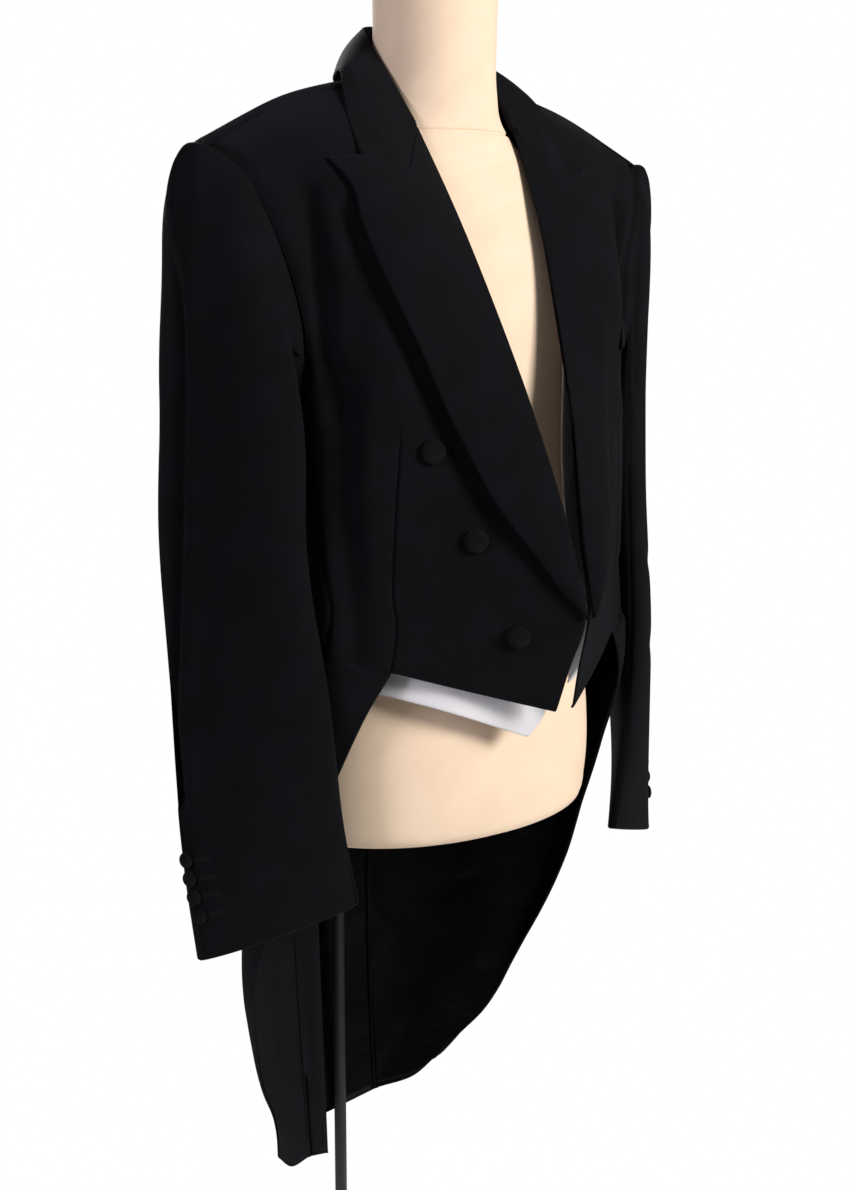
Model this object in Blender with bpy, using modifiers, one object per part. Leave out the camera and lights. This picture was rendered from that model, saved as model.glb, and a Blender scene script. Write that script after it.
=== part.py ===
"""Evening tailcoat and waistcoat on a limbless dress form with its stand.

Metres, +Z up. The wearer faces -Y, so the wearer's left side is +X. The floor is z = 0.
Each panel of cloth is a grid of points moved onto the panel's own surface and then
given its wall by Solidify. Surfaces are written for the wearer's left side, with
heights counted from the shoulder points, and the right side is their mirror image.
"""
import math

import bmesh
import bpy
import numpy as np
from mathutils import Matrix, Vector

# Driving sizes
shoulder_z = 1.430
cloth = 0.0018
lining_cloth = 0.0010
seam = 0.0003
armhole_z = -0.205
waist_seam_z = -0.392
front_button_radius = 0.0095
front_button_gap = 0.0006
cuff_button_radius = 0.0065
lining_margin = 0.05
lining_top = 0.44
tail_lining_ease = 0.0012
skirt_lining_ease = 0.0032
vest_cloth = 0.0015

# Coat round the body at falling heights: front edge, flank, front of the side,
# side, blade and centre back, as x and y
body_columns = ("z", "edge_x", "edge_y", "flank_x", "flank_y", "front_x", "front_y",
                "side_x", "side_y", "blade_x", "blade_y", "back_y")
body_rows = (
    (-0.205, 0.021, -0.139, 0.118, -0.094, 0.148, -0.068, 0.168, 0.015, 0.122, 0.126, 0.151),
    (-0.300, 0.007, -0.168, 0.121, -0.093, 0.150, -0.070, 0.163, 0.015, 0.114, 0.114, 0.138),
    (-0.357, 0.002, -0.184, 0.121, -0.092, 0.151, -0.073, 0.161, 0.015, 0.110, 0.110, 0.132),
    (-0.402, 0.006, -0.170, 0.121, -0.091, 0.152, -0.074, 0.163, 0.015, 0.113, 0.117, 0.141),
    (-0.440, 0.010, -0.159, 0.122, -0.089, 0.153, -0.072, 0.166, 0.015, 0.117, 0.126, 0.152),
)

# Share of the half girth at which the side body starts and ends
seam_columns = ("z", "side_seam", "back_seam")
seam_rows = (
    (-0.205, 0.415, 0.700),
    (-0.300, 0.415, 0.790),
    (-0.357, 0.415, 0.850),
    (-0.440, 0.415, 0.870),
)

# Curves of the upper coat, as x, y and z
roll_line = ((0.024, -0.137, -0.205), (0.033, -0.108, -0.135), (0.043, -0.076, -0.060),
             (0.053, -0.035, 0.010), (0.061, -0.008, 0.042), (0.070, 0.014, 0.060))
armhole_front = ((0.166, -0.044, -0.150), (0.171, -0.045, -0.090), (0.191, -0.036, -0.042),
                 (0.206, -0.020, -0.012), (0.226, 0.004, 0.003))
armhole_back = ((0.164, 0.102, -0.150), (0.178, 0.092, -0.090), (0.195, 0.065, -0.040),
                (0.210, 0.034, -0.012), (0.226, 0.004, 0.003))
shoulder_seam = ((0.070, 0.014, 0.060), (0.145, 0.013, 0.041), (0.226, 0.004, 0.003))
back_neck = ((0.070, 0.014, 0.060), (0.056, 0.048, 0.062), (0.028, 0.072, 0.069), (0.000, 0.076, 0.070))
centre_back = ((0.000, 0.151, -0.205), (0.000, 0.149, -0.130), (0.000, 0.136, -0.050),
               (0.000, 0.106, 0.025), (0.000, 0.076, 0.070))
neck_share = 0.68
chest_fullness = 0.012
armhole_hollow = 0.011
hollow_way = (-0.6, 0.8, 0.0)
blade_fullness = 0.010

# Hem of the fronts, as share of half girth and z
front_hem = ((0.0000, -0.437), (0.2767, -0.402), (0.4150, -0.392))
corner_share = 0.2767

# Front edge of the skirts from the waist seam round to the hem, as x, y and z
cutaway = ((0.122, -0.091, -0.4023), (0.144, -0.079, -0.444), (0.1500, -0.067, -0.473),
           (0.1545, -0.053, -0.500), (0.161, -0.032, -0.545), (0.168, -0.009, -0.590),
           (0.174, 0.012, -0.638), (0.172, 0.040, -0.699), (0.156, 0.065, -0.759),
           (0.134, 0.090, -0.824))
cutaway_end = {"left": ((0.101, 0.120, -0.871),), "right": ((0.112, 0.105, -0.872), (0.100, 0.120, -0.918))}

# Back of each tail below the waist: side seam and vent edge, as x and y
tail_columns = ("z", "seam_x", "seam_y", "vent_x", "vent_y")
tail_rows = {
    "left": (
        (-0.440, 0.064, 0.1475, -0.006, 0.1565),
        (-0.500, 0.057, 0.1620, -0.020, 0.1740),
        (-0.560, 0.053, 0.1700, -0.032, 0.1800),
        (-0.650, 0.050, 0.1730, -0.045, 0.1830),
        (-0.780, 0.047, 0.1680, -0.055, 0.1830),
        (-0.935, 0.045, 0.1550, -0.060, 0.1790),
    ),
    "right": (
        (-0.440, 0.064, 0.1475, 0.010, 0.1510),
        (-0.500, 0.057, 0.1590, 0.016, 0.1630),
        (-0.560, 0.053, 0.1640, 0.018, 0.1680),
        (-0.650, 0.050, 0.1630, 0.020, 0.1670),
        (-0.780, 0.049, 0.1560, 0.022, 0.1600),
        (-0.960, 0.047, 0.1440, 0.022, 0.1510),
    ),
}
tail_hem = {"left": (-0.910, -0.936), "right": (-0.948, -0.956)}
tail_ripple = 0.0018

# Side of the skirts under the sleeves: x, its slope with y, the y it is read at, and the
# flare below the hips
skirt_side = (0.1590, 0.15, -0.050)
skirt_flare = 0.05
skirt_gap = (0.0006, -0.0002, 0.0)
skirt_hem_bow = (0.004, -0.002, -0.008)
skirt_round = 0.004

# Sleeve at falling heights: centre, half width, half thickness, toe-in and cuff slant
sleeve_columns = ("z", "x", "y", "half_width", "half_thick", "toe", "slant")
sleeve_rows = (
    (-0.205, 0.2040, 0.0100, 0.0630, 0.0290, 20.5, 0.00),
    (-0.280, 0.2070, 0.0060, 0.0650, 0.0270, 24.0, 0.00),
    (-0.420, 0.2080, -0.0200, 0.0660, 0.0220, 37.0, 0.00),
    (-0.540, 0.2060, -0.0325, 0.0650, 0.0170, 50.0, 0.20),
    (-0.612, 0.1985, -0.0405, 0.0650, 0.0130, 59.0, 0.32),
)
sleeve_seams = ((-14.0, 172.0), (-10.0, 192.0))
cap_rise = 0.122
cap_reach = 0.034
cap_drop = 0.010

# Roll line of the collar, its outer edge and the foot of its stand, from centre back
collar_roll = ((0.000, 0.070, 0.108), (0.030, 0.060, 0.106), (0.0495, 0.030, 0.091),
               (0.0525, 0.002, 0.064), (0.0510, -0.032, 0.023))
collar_edge = ((0.000, 0.104, 0.057), (0.041, 0.089, 0.060), (0.0715, 0.049, 0.0635),
               (0.092, 0.012, 0.0605), (0.108, -0.018, 0.030), (0.117, -0.0492, -0.0045))
collar_foot = ((0.000, 0.0614, 0.074), (0.036, 0.056, 0.073), (0.057, 0.024, 0.068),
               (0.0545, 0.000, 0.052), (0.0500, -0.029, 0.0205))
collar_split = 0.36
collar_bend_from = 0.70
collar_crown = 0.004
gorge_end = (0.0865, -0.0664, -0.0245)

# Lapel: roll line as x, y and z, outer edge and top edge as x and z
lapel_roll = ((0.050, -0.034, 0.019), (0.040, -0.081, -0.062), (0.030, -0.115, -0.135),
              (0.0195, -0.143, -0.205), (0.0055, -0.172, -0.300), (0.0015, -0.187, -0.357))
lapel_edge = ((0.0035, -0.3560), (0.0138, -0.3413), (0.0330, -0.3051), (0.0534, -0.2702),
              (0.0760, -0.2178), (0.0985, -0.1640), (0.1150, -0.1200), (0.1250, -0.0770),
              (0.1302, -0.0514), (0.1315, -0.0307), (0.1433, -0.0085))
lapel_top = ((0.0500, 0.0185), (0.0860, -0.0262), (0.1155, -0.0068), (0.1433, -0.0085))
lapel_bend_from = 0.72
lapel_lift = 0.0034
lapel_crown = 0.0035

# How far each lapel stands off the front, at even steps from the break up to the gorge
lapel_belly = {"right": (0.0, 0.0018, 0.0040, 0.0042, 0.0030, 0.0015, 0.0, 0.0, 0.0, 0.0, 0.0),
               "left": (0.0, 0.0100, 0.0120, 0.0095, 0.0065, 0.0040, 0.0030, 0.0025, 0.0015, 0.0, 0.0)}
belly_reach = 0.62

# How the right side hangs unlike the left: centre of each fuller place, its reach and its shift
hang = {"left": (),
        "right": (((0.172, -0.045, -0.085), 0.055, (0.0070, 0.0040, 0.0)),
                  ((0.182, -0.052, -0.225), 0.070, (-0.0040, -0.0050, 0.0)),
                  ((0.246, 0.018, -0.050), 0.050, (0.0080, 0.0040, 0.0)))}

# Front buttons as x and z, cuff buttons as a turn of the sleeve and a height
front_button_places = {"right": ((0.0942, -0.2280), (0.0675, -0.2968), (0.0428, -0.3715)),
                       "left": ((0.0900, -0.2340), (0.0600, -0.2920), (0.0245, -0.3480))}
cuff_button_places = ((156.0, -0.5385), (154.5, -0.5520), (152.5, -0.5655), (149.5, -0.5795))

# Breast pocket welt on the left front: inner end x, outer end x, lower z at each end, height
welt = {"inner": (0.117, -0.158), "outer": (0.158, -0.146), "height": 0.022}
welt_lift = 0.0030

# Waistcoat: opening edge, side and armhole edge, and hem, as x, y and z
vest_edge = {
    "left": ((0.050, -0.112, -0.432), (0.048, -0.118, -0.360), (0.047, -0.116, -0.290),
             (0.042, -0.111, -0.215), (0.046, -0.100, -0.130), (0.060, -0.052, -0.030),
             (0.074, 0.004, 0.040)),
    "right": ((0.012, -0.130, -0.464), (-0.002, -0.137, -0.441), (0.010, -0.134, -0.390),
              (0.032, -0.124, -0.290),
              (0.040, -0.113, -0.215), (0.046, -0.100, -0.130), (0.060, -0.052, -0.030),
              (0.074, 0.004, 0.040)),
}
vest_side = ((0.1560, 0.006, -0.415), (0.1500, 0.006, -0.357), (0.1530, 0.006, -0.290),
             (0.1570, 0.003, -0.215), (0.1500, -0.036, -0.120), (0.1240, -0.020, -0.025),
             (0.1200, 0.004, 0.026))
vest_hem_mid = {"left": (0.108, -0.082, -0.424), "right": (0.090, -0.102, -0.432)}
vest_fullness = 0.006
vest_gap = 0.0037
vest_front_gap = 0.0030
vest_back_turns = (3.0, 90.0)
vest_back_top = (-0.218, -0.045)
vest_back_hem = -0.412

# Dress form: height, half width, half depth and middle y
form_rows = (
    (-0.5610, 0.140, 0.101, 0.018),
    (-0.5585, 0.149, 0.110, 0.018),
    (-0.5520, 0.154, 0.115, 0.018),
    (-0.5350, 0.157, 0.118, 0.018),
    (-0.4750, 0.157, 0.117, 0.016),
    (-0.4200, 0.148, 0.108, 0.012),
    (-0.3600, 0.137, 0.099, 0.008),
    (-0.3000, 0.140, 0.102, 0.007),
    (-0.2200, 0.150, 0.110, 0.008),
    (-0.1500, 0.152, 0.108, 0.012),
    (-0.0900, 0.148, 0.098, 0.016),
    (-0.0450, 0.134, 0.084, 0.019),
    (-0.0150, 0.110, 0.072, 0.018),
    (0.0050, 0.082, 0.064, 0.016),
    (0.0250, 0.060, 0.057, 0.013),
    (0.0500, 0.052, 0.053, 0.010),
    (0.0900, 0.0500, 0.0515, 0.008),
    (0.1400, 0.0510, 0.0520, 0.007),
)
form_sides = 28
neck_cap_profile = ((1.00, 0.000), (0.99, 0.006), (0.93, 0.011), (0.70, 0.014))

# Stand
pole_radius = 0.006
pole_y = 0.157
plate_size = (0.360, 0.330, 0.008)
plate_y = 0.010
plate_corner = 0.025
bracket_thickness = 0.008
bracket_width = (0.045, 0.009)
bracket_front_y = -0.010
foot_radius = 0.022
foot_height = 0.006

# Cloth drawn in from the start, end, bottom and top edges of each panel, so that walls
# clear one another where panels meet over a ridge
no_trims = (0.0, 0.0, 0.0, 0.0)
front_trims = (0.0, 0.0002, 0.0, 0.0015)
back_trims = (0.0004, 0.0007, 0.0, 0.0015)
side_trims = (0.0012, 0.0004, 0.0, 0.0)
skirt_trims = (0.0, 0.0003, 0.0, 0.0003)
sleeve_trims = (0.0015, 0.0015, 0.0, 0.0010)
lapel_trims = (0.0, 0.0, 0.0, 0.0032)
collar_trims = (0.0, 0.0022, 0.0, 0.0)

# Covered button: share of its radius outwards and upwards, from crown to shank
button_profile = ((0.00, 0.66), (0.48, 0.61), (0.84, 0.46), (1.00, 0.28), (0.90, 0.17), (0.30, 0.15),
                  (0.30, 0.00), (0.00, 0.00))


def spline(knots, values, t):
    """Smooth curve through values at rising knots, read at t."""
    knots = np.asarray(knots, float)
    values = np.asarray(values, float)
    slopes = np.gradient(values, knots, axis=0)
    t = min(max(t, knots[0]), knots[-1])
    i = min(int(np.searchsorted(knots, t, side="right")) - 1, len(knots) - 2)
    step = knots[i + 1] - knots[i]
    f = (t - knots[i]) / step
    return ((2 * f**3 - 3 * f**2 + 1) * values[i] + (f**3 - 2 * f**2 + f) * step * slopes[i]
            + (3 * f**2 - 2 * f**3) * values[i + 1] + (f**3 - f**2) * step * slopes[i + 1])


def chord_knots(points):
    """Share of a curve's length at each of its points."""
    points = np.asarray(points, float)
    lengths = np.linalg.norm(np.diff(points, axis=0), axis=1)
    total = np.concatenate(([0.0], np.cumsum(lengths)))
    return total / total[-1]


def along(points, t):
    """Point at share t of a smooth curve through points."""
    return spline(chord_knots(points), points, t)


def along_corners(points, t):
    """Point at share t of the straight runs through points."""
    points = np.asarray(points, float)
    knots = chord_knots(points)
    return np.array([np.interp(t, knots, column) for column in points.T])


def read_table(rows, columns, z):
    """Row of a table of falling heights at height z, as a dictionary."""
    table = np.array(rows)[::-1]
    return dict(zip(columns[1:], spline(table[:, 0], table[:, 1:], z)))


def body_section(z):
    """Points of the coat round the body at height z, from front edge to centre back."""
    row = read_table(body_rows, body_columns, z)
    edge = np.array((row["edge_x"], row["edge_y"]))
    flank = np.array((row["flank_x"], row["flank_y"]))
    back = row["back_y"]
    return np.array((edge, edge * 0.65 + flank * 0.35, edge * 0.3 + flank * 0.7, flank,
                     (row["front_x"], row["front_y"]), (row["side_x"], row["side_y"]),
                     (row["blade_x"], row["blade_y"]), (row["blade_x"] * 0.45, back * 0.985),
                     (0.0, back)))


def body(share, z):
    """Point of the coat body at a share of its half girth and height z."""
    x, y = along(body_section(z), share)
    return np.array((x, y, z))


def coons(bottom, top, start, end, u, v):
    """Point of the patch between four edge curves, each read from 0 to 1."""
    ruled_v = (1 - v) * bottom(u) + v * top(u)
    ruled_u = (1 - u) * start(v) + u * end(v)
    corners = ((1 - u) * (1 - v) * bottom(0) + u * (1 - v) * bottom(1)
               + (1 - u) * v * top(0) + u * v * top(1))
    return ruled_v + ruled_u - corners


def seams_at(z):
    return read_table(seam_rows, seam_columns, z)


def form_size(z):
    """Half width, half depth and middle y of the form at height z."""
    table = np.array(form_rows)
    return spline(table[:, 0], table[:, 1:], z)


def front_hem_z(share):
    rows = np.array(front_hem)
    return float(np.interp(share, rows[:, 0], rows[:, 1]))


front_split = 0.5


def upper_front(u, v):
    """Chest of the front, from the armhole line up to the shoulder seam."""
    side = seams_at(armhole_z)["side_seam"]
    outer = [tuple(body(side, armhole_z))] + list(armhole_front)
    point = coons(lambda t: body(t * side, armhole_z), lambda t: along(shoulder_seam, t),
                  lambda t: along(roll_line, t), lambda t: along(outer, t), u, v)
    point[1] -= chest_fullness * 20 * u * (1 - u)**1.5 * v * (1 - v)
    hollow = armhole_hollow * math.sin(math.pi * u**3)**2 * math.sin(math.pi * v**0.6)
    return point + hollow * np.array(hollow_way)


def front_surface(u, v):
    """Front from the hem (v 0) to the shoulder (v 1), u from front edge to side."""
    if v >= front_split:
        return upper_front(u, (v - front_split) / (1 - front_split))
    share = u * seams_at(armhole_z)["side_seam"]
    f = v / front_split
    z = front_hem_z(share) * (1 - f) + armhole_z * f
    return body(share, z)


def side_surface(u, v):
    """Side body from the waist seam up to the armhole, u from front to back."""
    f = v
    z = waist_seam_z * (1 - f) + (armhole_z - seam) * f
    limits = seams_at(z)
    start = limits["side_seam"] + 0.001
    end = limits["back_seam"] - 0.001
    return body(start * (1 - u) + end * u, z)


def upper_back(u, v):
    """Back above the armhole line, u from armhole to centre back."""
    start = seams_at(armhole_z)["back_seam"]
    outer = [tuple(body(start, armhole_z))] + list(armhole_back)

    def top(t):
        if t < neck_share:
            return along(shoulder_seam, 1 - t / neck_share)
        return along(back_neck, (t - neck_share) / (1 - neck_share))

    point = coons(lambda t: body(start * (1 - t) + t, armhole_z), top,
                  lambda t: along(outer, t), lambda t: along(centre_back, t), u, v)
    point[1] += blade_fullness * math.sin(math.pi * u)**2 * 4 * v * (1 - v)
    return point


def tail_back(side, u, z):
    row = read_table(tail_rows[side], tail_columns, z)
    seam_point = np.array((row["seam_x"], row["seam_y"], z))
    vent_point = np.array((row["vent_x"], row["vent_y"], z))
    return seam_point * (1 - u) + vent_point * u


tail_top = -0.440
vent_top = -0.400
back_splits = (10 / 22, 15 / 22)
centre_gap = 0.0003


def back_point(side, u, z):
    """Point of the back below the armhole line, u from side seam to centre or vent."""
    if z < tail_top:
        return tail_back(side, u, z)
    start = seams_at(max(z, vent_top))["back_seam"]
    high = body(start * (1 - u) + u, max(z, vent_top))
    if z >= vent_top:
        return high
    low = tail_back(side, u, tail_top)
    f = (z - tail_top) / (vent_top - tail_top)
    point = low * (1 - f) + high * f
    point[2] = z
    return point


def back_surface(side, u, v):
    """Back in one length from tail hem (v 0) to shoulder, u from side to centre."""
    low, high = back_splits
    if v >= high:
        point = upper_back(u, (v - high) / (1 - high))
        point[0] = max(point[0], centre_gap)
        return point
    if v >= low:
        f = (v - low) / (high - low)
        z = vent_top * (1 - f) + armhole_z * f
        point = back_point(side, u, z)
        point[0] = max(point[0], centre_gap)
        return point
    hem = tail_hem[side][0] * (1 - u) + tail_hem[side][1] * u
    f = v / low
    point = back_point(side, u, hem * (1 - f) + vent_top * f)
    if f < 1:
        point[1] += tail_ripple * math.sin(u * math.pi * 2.0) * (1 - f) * min(1.0, f * 4)
    return point


def skirt_surface(side, u, v):
    """Skirt from hem (v 0) up to the waist seam, u from cutaway edge to back seam."""
    edge = list(cutaway) + list(cutaway_end[side])
    top_z = waist_seam_z - seam
    end_share = seams_at(top_z)["back_seam"] - 0.001

    def waist(t):
        share = corner_share * (1 - t) + end_share * t
        return body(share, front_hem_z(share) - seam)

    def back_seam(t):
        z = tail_hem[side][0] * (1 - t) + top_z * t
        return back_point(side, 0.0, z) + np.array(skirt_gap)

    def hem(t):
        start = np.array(edge[-1])
        end = back_seam(0.0)
        mid = (start + end) / 2 + np.array(skirt_hem_bow)
        return along((start, mid, end), t)

    point = coons(hem, waist, lambda t: along(edge[::-1], t), back_seam, u, v)
    ripple = tail_ripple * math.sin(u * math.pi * 3.0) * (1 - v) * min(1.0, v * 3)
    point[0] += ripple * 0.6
    point[1] += ripple
    widest = (skirt_side[0] + skirt_side[1] * (point[1] - skirt_side[2])
              + skirt_flare * max(0.0, tail_top - point[2]))
    gap = point[0] - widest
    held = (point[0] + widest - math.hypot(gap, skirt_round)) / 2
    hold = min(1.0, (1 - v) * 6)
    point[0] = point[0] * (1 - hold) + held * hold
    return point


def sleeve_ring(turn, z):
    """Point of the sleeve at a turn in degrees from its front fold, over the outside."""
    row = read_table(sleeve_rows, sleeve_columns, z)
    toe = math.radians(row["toe"])
    turn = math.radians(turn)
    forward = np.array((-math.sin(toe), -math.cos(toe)))
    outward = np.array((math.cos(toe), -math.sin(toe)))
    reach = row["half_width"] * math.cos(turn)
    x, y = (row["x"], row["y"]) + forward * reach + outward * row["half_thick"] * math.sin(turn)
    return np.array((x, y, z + row["slant"] * reach))


def on_sleeve(turn, z, lift):
    """Point a given height above the sleeve at a turn and height, and the normal there."""
    point = sleeve_ring(turn, z)
    across = sleeve_ring(turn + 2, z) - sleeve_ring(turn - 2, z)
    up = sleeve_ring(turn, z + 0.005) - sleeve_ring(turn, z - 0.005)
    normal = np.cross(across, up)
    normal = normal / np.linalg.norm(normal)
    return point + normal * lift, normal


cuff_z = -0.612
cap_split = 10 / 16
under_split = 9 / 12
under_drop = 0.016
armhole_notch = 0.22


def armhole_over(t):
    """Armhole from the front notch over the shoulder to the back notch."""
    side = body(seams_at(armhole_z)["side_seam"], armhole_z)
    back = body(seams_at(armhole_z)["back_seam"], armhole_z)
    front_half = [tuple(side)] + list(armhole_front)
    back_half = [tuple(back)] + list(armhole_back)
    if t < 0.5:
        return along(front_half, armhole_notch + (1 - armhole_notch) * t * 2)
    return along(back_half, armhole_notch + (1 - armhole_notch) * (1 - t) * 2)


def sleeve_turns(z):
    """Turns of the front and back sleeve seams at height z."""
    low, high = np.array(sleeve_seams)
    f = (z - cuff_z) / (armhole_z - cuff_z)
    return low * (1 - f) + high * f


def top_sleeve(u, v):
    """Top sleeve from cuff (v 0) to the armhole, u from front seam to back seam."""
    f = min(v / cap_split, 1.0)
    z = cuff_z * (1 - f) + armhole_z * f
    first, last = sleeve_turns(z)
    start = sleeve_ring(first * (1 - u) + last * u, z)
    if v <= cap_split:
        return start
    f = (v - cap_split) / (1 - cap_split)
    crown = math.sin(math.pi * u)
    end = armhole_over(u) + np.array((seam * 2, 0.0, 0.0))
    rise = start + np.array((0.0, 0.0, cap_rise * (0.65 + 0.35 * crown)))
    reach = end + np.array((cap_reach * (0.5 + 0.5 * crown), 0.0, -cap_drop * crown))
    return ((1 - f)**3 * start + 3 * (1 - f)**2 * f * rise
            + 3 * (1 - f) * f**2 * reach + f**3 * end)


def armhole_under(t):
    """Lower part of the armhole from the back notch round to the front notch."""
    start = seams_at(armhole_z)["side_seam"]
    end = seams_at(armhole_z)["back_seam"]
    back_half = [tuple(body(end, armhole_z))] + list(armhole_back)
    front_half = [tuple(body(start, armhole_z))] + list(armhole_front)
    if t < 0.2:
        return along(back_half, armhole_notch * (1 - t / 0.2))
    if t > 0.8:
        return along(front_half, armhole_notch * (t - 0.8) / 0.2)
    f = (t - 0.2) / 0.6
    return body(end * (1 - f) + start * f, armhole_z)


def under_sleeve(u, v):
    """Under sleeve from cuff to underarm, u from back seam round to front seam."""
    low = armhole_z - under_drop
    f = min(v / under_split, 1.0)
    z = cuff_z * (1 - f) + low * f
    first, last = sleeve_turns(z)
    if v <= under_split:
        return sleeve_ring(last * (1 - u) + (first + 360.0) * u, z)
    start_v = cap_split * (low - cuff_z) / (armhole_z - cuff_z)

    def edge(side):
        return lambda f: top_sleeve(side, start_v * (1 - f) + f)

    return coons(lambda t: sleeve_ring(last * (1 - t) + (first + 360.0) * t, low),
                 lambda t: armhole_under(t) + np.array((seam * 2, 0.0, 0.0)),
                 edge(1.0), edge(0.0), u, (v - under_split) / (1 - under_split))


def hung(side, point):
    """Point of a panel with the fuller places of its side."""
    shift = np.zeros(3)
    for centre, reach, way in hang[side]:
        away = np.linalg.norm(point - np.array(centre)) / reach
        shift += math.exp(-away**2) * np.array(way)
    return point + shift


def front_share(x, z):
    """The u and v at which the front panel passes through x and z."""
    u, v, step = 0.5, 0.5, 0.002
    for _ in range(7):
        here = front_surface(u, v)
        du = (front_surface(u + step, v) - here) / step
        dv = (front_surface(u, v + step) - here) / step
        miss = np.array((x - here[0], z - here[2]))
        slopes = np.array(((du[0], dv[0]), (du[2], dv[2])))
        change = np.linalg.solve(slopes, miss)
        u = min(max(u + change[0], 0.0), 1.0 - step)
        v = min(max(v + change[1], 0.0), 1.0 - step)
    return u, v


def outside(surface, u, v):
    """Unit normal of a left-side surface, pointing away from the body."""
    step = 0.004
    du = surface(min(u + step, 1), v) - surface(max(u - step, 0), v)
    dv = surface(u, min(v + step, 1)) - surface(u, max(v - step, 0))
    normal = np.cross(du, dv)
    return normal / np.linalg.norm(normal)


def on_front(x, z, lift):
    """Point a given height above the front panel near x and z, and the normal there."""
    u, v = front_share(x, z)
    normal = outside(front_surface, u, v)
    return front_surface(u, v) + normal * lift, normal


def lapel_surface(side, u, v):
    """Lapel from the break (v 0) up to the gorge (v 1), u from roll line to outer edge."""
    roll = along(lapel_roll[::-1], v)
    outer_x, outer_z = along(lapel_edge, v)
    top_x, top_z = along_corners(lapel_top, u)
    bend = max(0.0, (v - lapel_bend_from) / (1 - lapel_bend_from))
    x = roll[0] * (1 - u) + outer_x * u + bend * (top_x - lapel_top[0][0] * (1 - u) - lapel_top[-1][0] * u)
    z = roll[2] * (1 - u) + outer_z * u + bend * (top_z - lapel_top[0][1] * (1 - u) - lapel_top[-1][1] * u)
    lift = lapel_lift + lapel_crown * math.sin(math.pi * min(1.0, u * 0.9 + 0.05))
    steps = np.linspace(0.0, 1.0, len(lapel_belly[side]))
    lift += spline(steps, np.array(lapel_belly[side]), v) * math.sin(math.pi * u * belly_reach)
    laid, normal = on_front(x, z, lapel_lift)
    laid[0], laid[2] = x, z
    laid += normal * (lift - lapel_lift)
    hold = (1 - u)**3
    return laid * (1 - hold) + roll * hold


def collar_surface(u, v):
    """Half of the collar: u from centre back to front end, v from foot over the roll to the edge."""
    roll = along(collar_roll, u)
    if v < collar_split:
        f = v / collar_split
        foot = along(collar_foot, u)
        point = foot * (1 - f) + roll * f
        return point
    w = (v - collar_split) / (1 - collar_split)
    edge = along(collar_edge, u)
    point = roll * (1 - w) + edge * w
    bend = max(0.0, (u - collar_bend_from) / (1 - collar_bend_from))
    end = along_corners((collar_roll[-1], gorge_end, collar_edge[-1]), w)
    point = point + bend * (end - np.array(collar_roll[-1]) * (1 - w) - np.array(collar_edge[-1]) * w)
    crown = collar_crown * math.sin(math.pi * w) * (1 - bend)
    return point + np.array((crown * math.sin(u * math.pi / 2), crown * math.cos(u * math.pi / 2), crown))


def welt_surface(u, v):
    x = welt["inner"][0] * (1 - u) + welt["outer"][0] * u
    z = welt["inner"][1] * (1 - u) + welt["outer"][1] * u + welt["height"] * v
    return on_front(x, z, welt_lift)[0]


def lined(surface, margin, ease):
    """Surface just inside another panel, for its lining, kept back from the panel's edges."""
    def inner(u, v):
        u = margin + (1 - 2 * margin) * u
        v = margin * 0.5 + (1 - margin) * v
        return surface(u, v) - outside(surface, u, v) * (cloth + ease)
    return inner


def vest_front(side, u, v):
    """Waistcoat front from hem to shoulder, u from its opening edge to its side."""
    edge = vest_edge[side]
    hem = (edge[0], vest_hem_mid[side], vest_side[0])
    point = coons(lambda t: along(hem, t),
                  lambda t: np.array(edge[-1]) * (1 - t) + np.array(vest_side[-1]) * t,
                  lambda t: along(edge, t), lambda t: along(vest_side, t), u, v)
    point[1] -= vest_fullness * math.sin(math.pi * u) * v
    return clear_of_form(point)


def clear_of_form(point):
    """Point moved level outwards until it stands vest_front_gap off the form."""
    half_width, half_depth, middle = form_size(point[2])
    away = math.hypot(point[0] / (half_width + vest_front_gap),
                      (point[1] - middle) / (half_depth + vest_front_gap))
    if away >= 1:
        return point
    return np.array((point[0] / away, middle + (point[1] - middle) / away, point[2]))


def vest_back(u, v):
    """Half of the waistcoat back, laid over the form from side to centre."""
    turn = math.radians(vest_back_turns[0] * (1 - u) + vest_back_turns[1] * u)
    rise = min(1.0, u * 2.2)
    top = vest_back_top[0] * (1 - rise) + vest_back_top[1] * rise
    z = vest_back_hem * (1 - v) + top * v
    half_width, half_depth, middle = form_size(z)
    return np.array(((half_width + vest_gap) * math.cos(turn) * (u < 1),
                     middle + (half_depth + vest_gap) * math.sin(turn), z))


def material(name, colour, roughness, metallic=0.0):
    made = bpy.data.materials.new(name)
    made.use_nodes = True
    shader = made.node_tree.nodes["Principled BSDF"]
    shader.inputs["Base Color"].default_value = (*colour, 1.0)
    shader.inputs["Roughness"].default_value = roughness
    shader.inputs["Metallic"].default_value = metallic
    return made


def place(name, mesh, look):
    """Object for a mesh, in the part's collection and with its own material."""
    made = bpy.data.objects.new(name, mesh)
    mesh.materials.append(material(name + "_look", *look))
    bpy.data.collections[collection_name].objects.link(made)
    return made


def trimmed(points, trims):
    """Grid of points with its start, end, bottom and top edges drawn in by trims."""
    points = points.copy()
    start, end, bottom, top = trims
    for edge, inner, cut in ((points[0], points[1], start), (points[-1], points[-2], end),
                             (points[:, 0], points[:, 1], bottom), (points[:, -1], points[:, -2], top)):
        inward = inner - edge
        edge += inward / np.linalg.norm(inward, axis=1)[:, None] * cut
    return points


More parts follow.
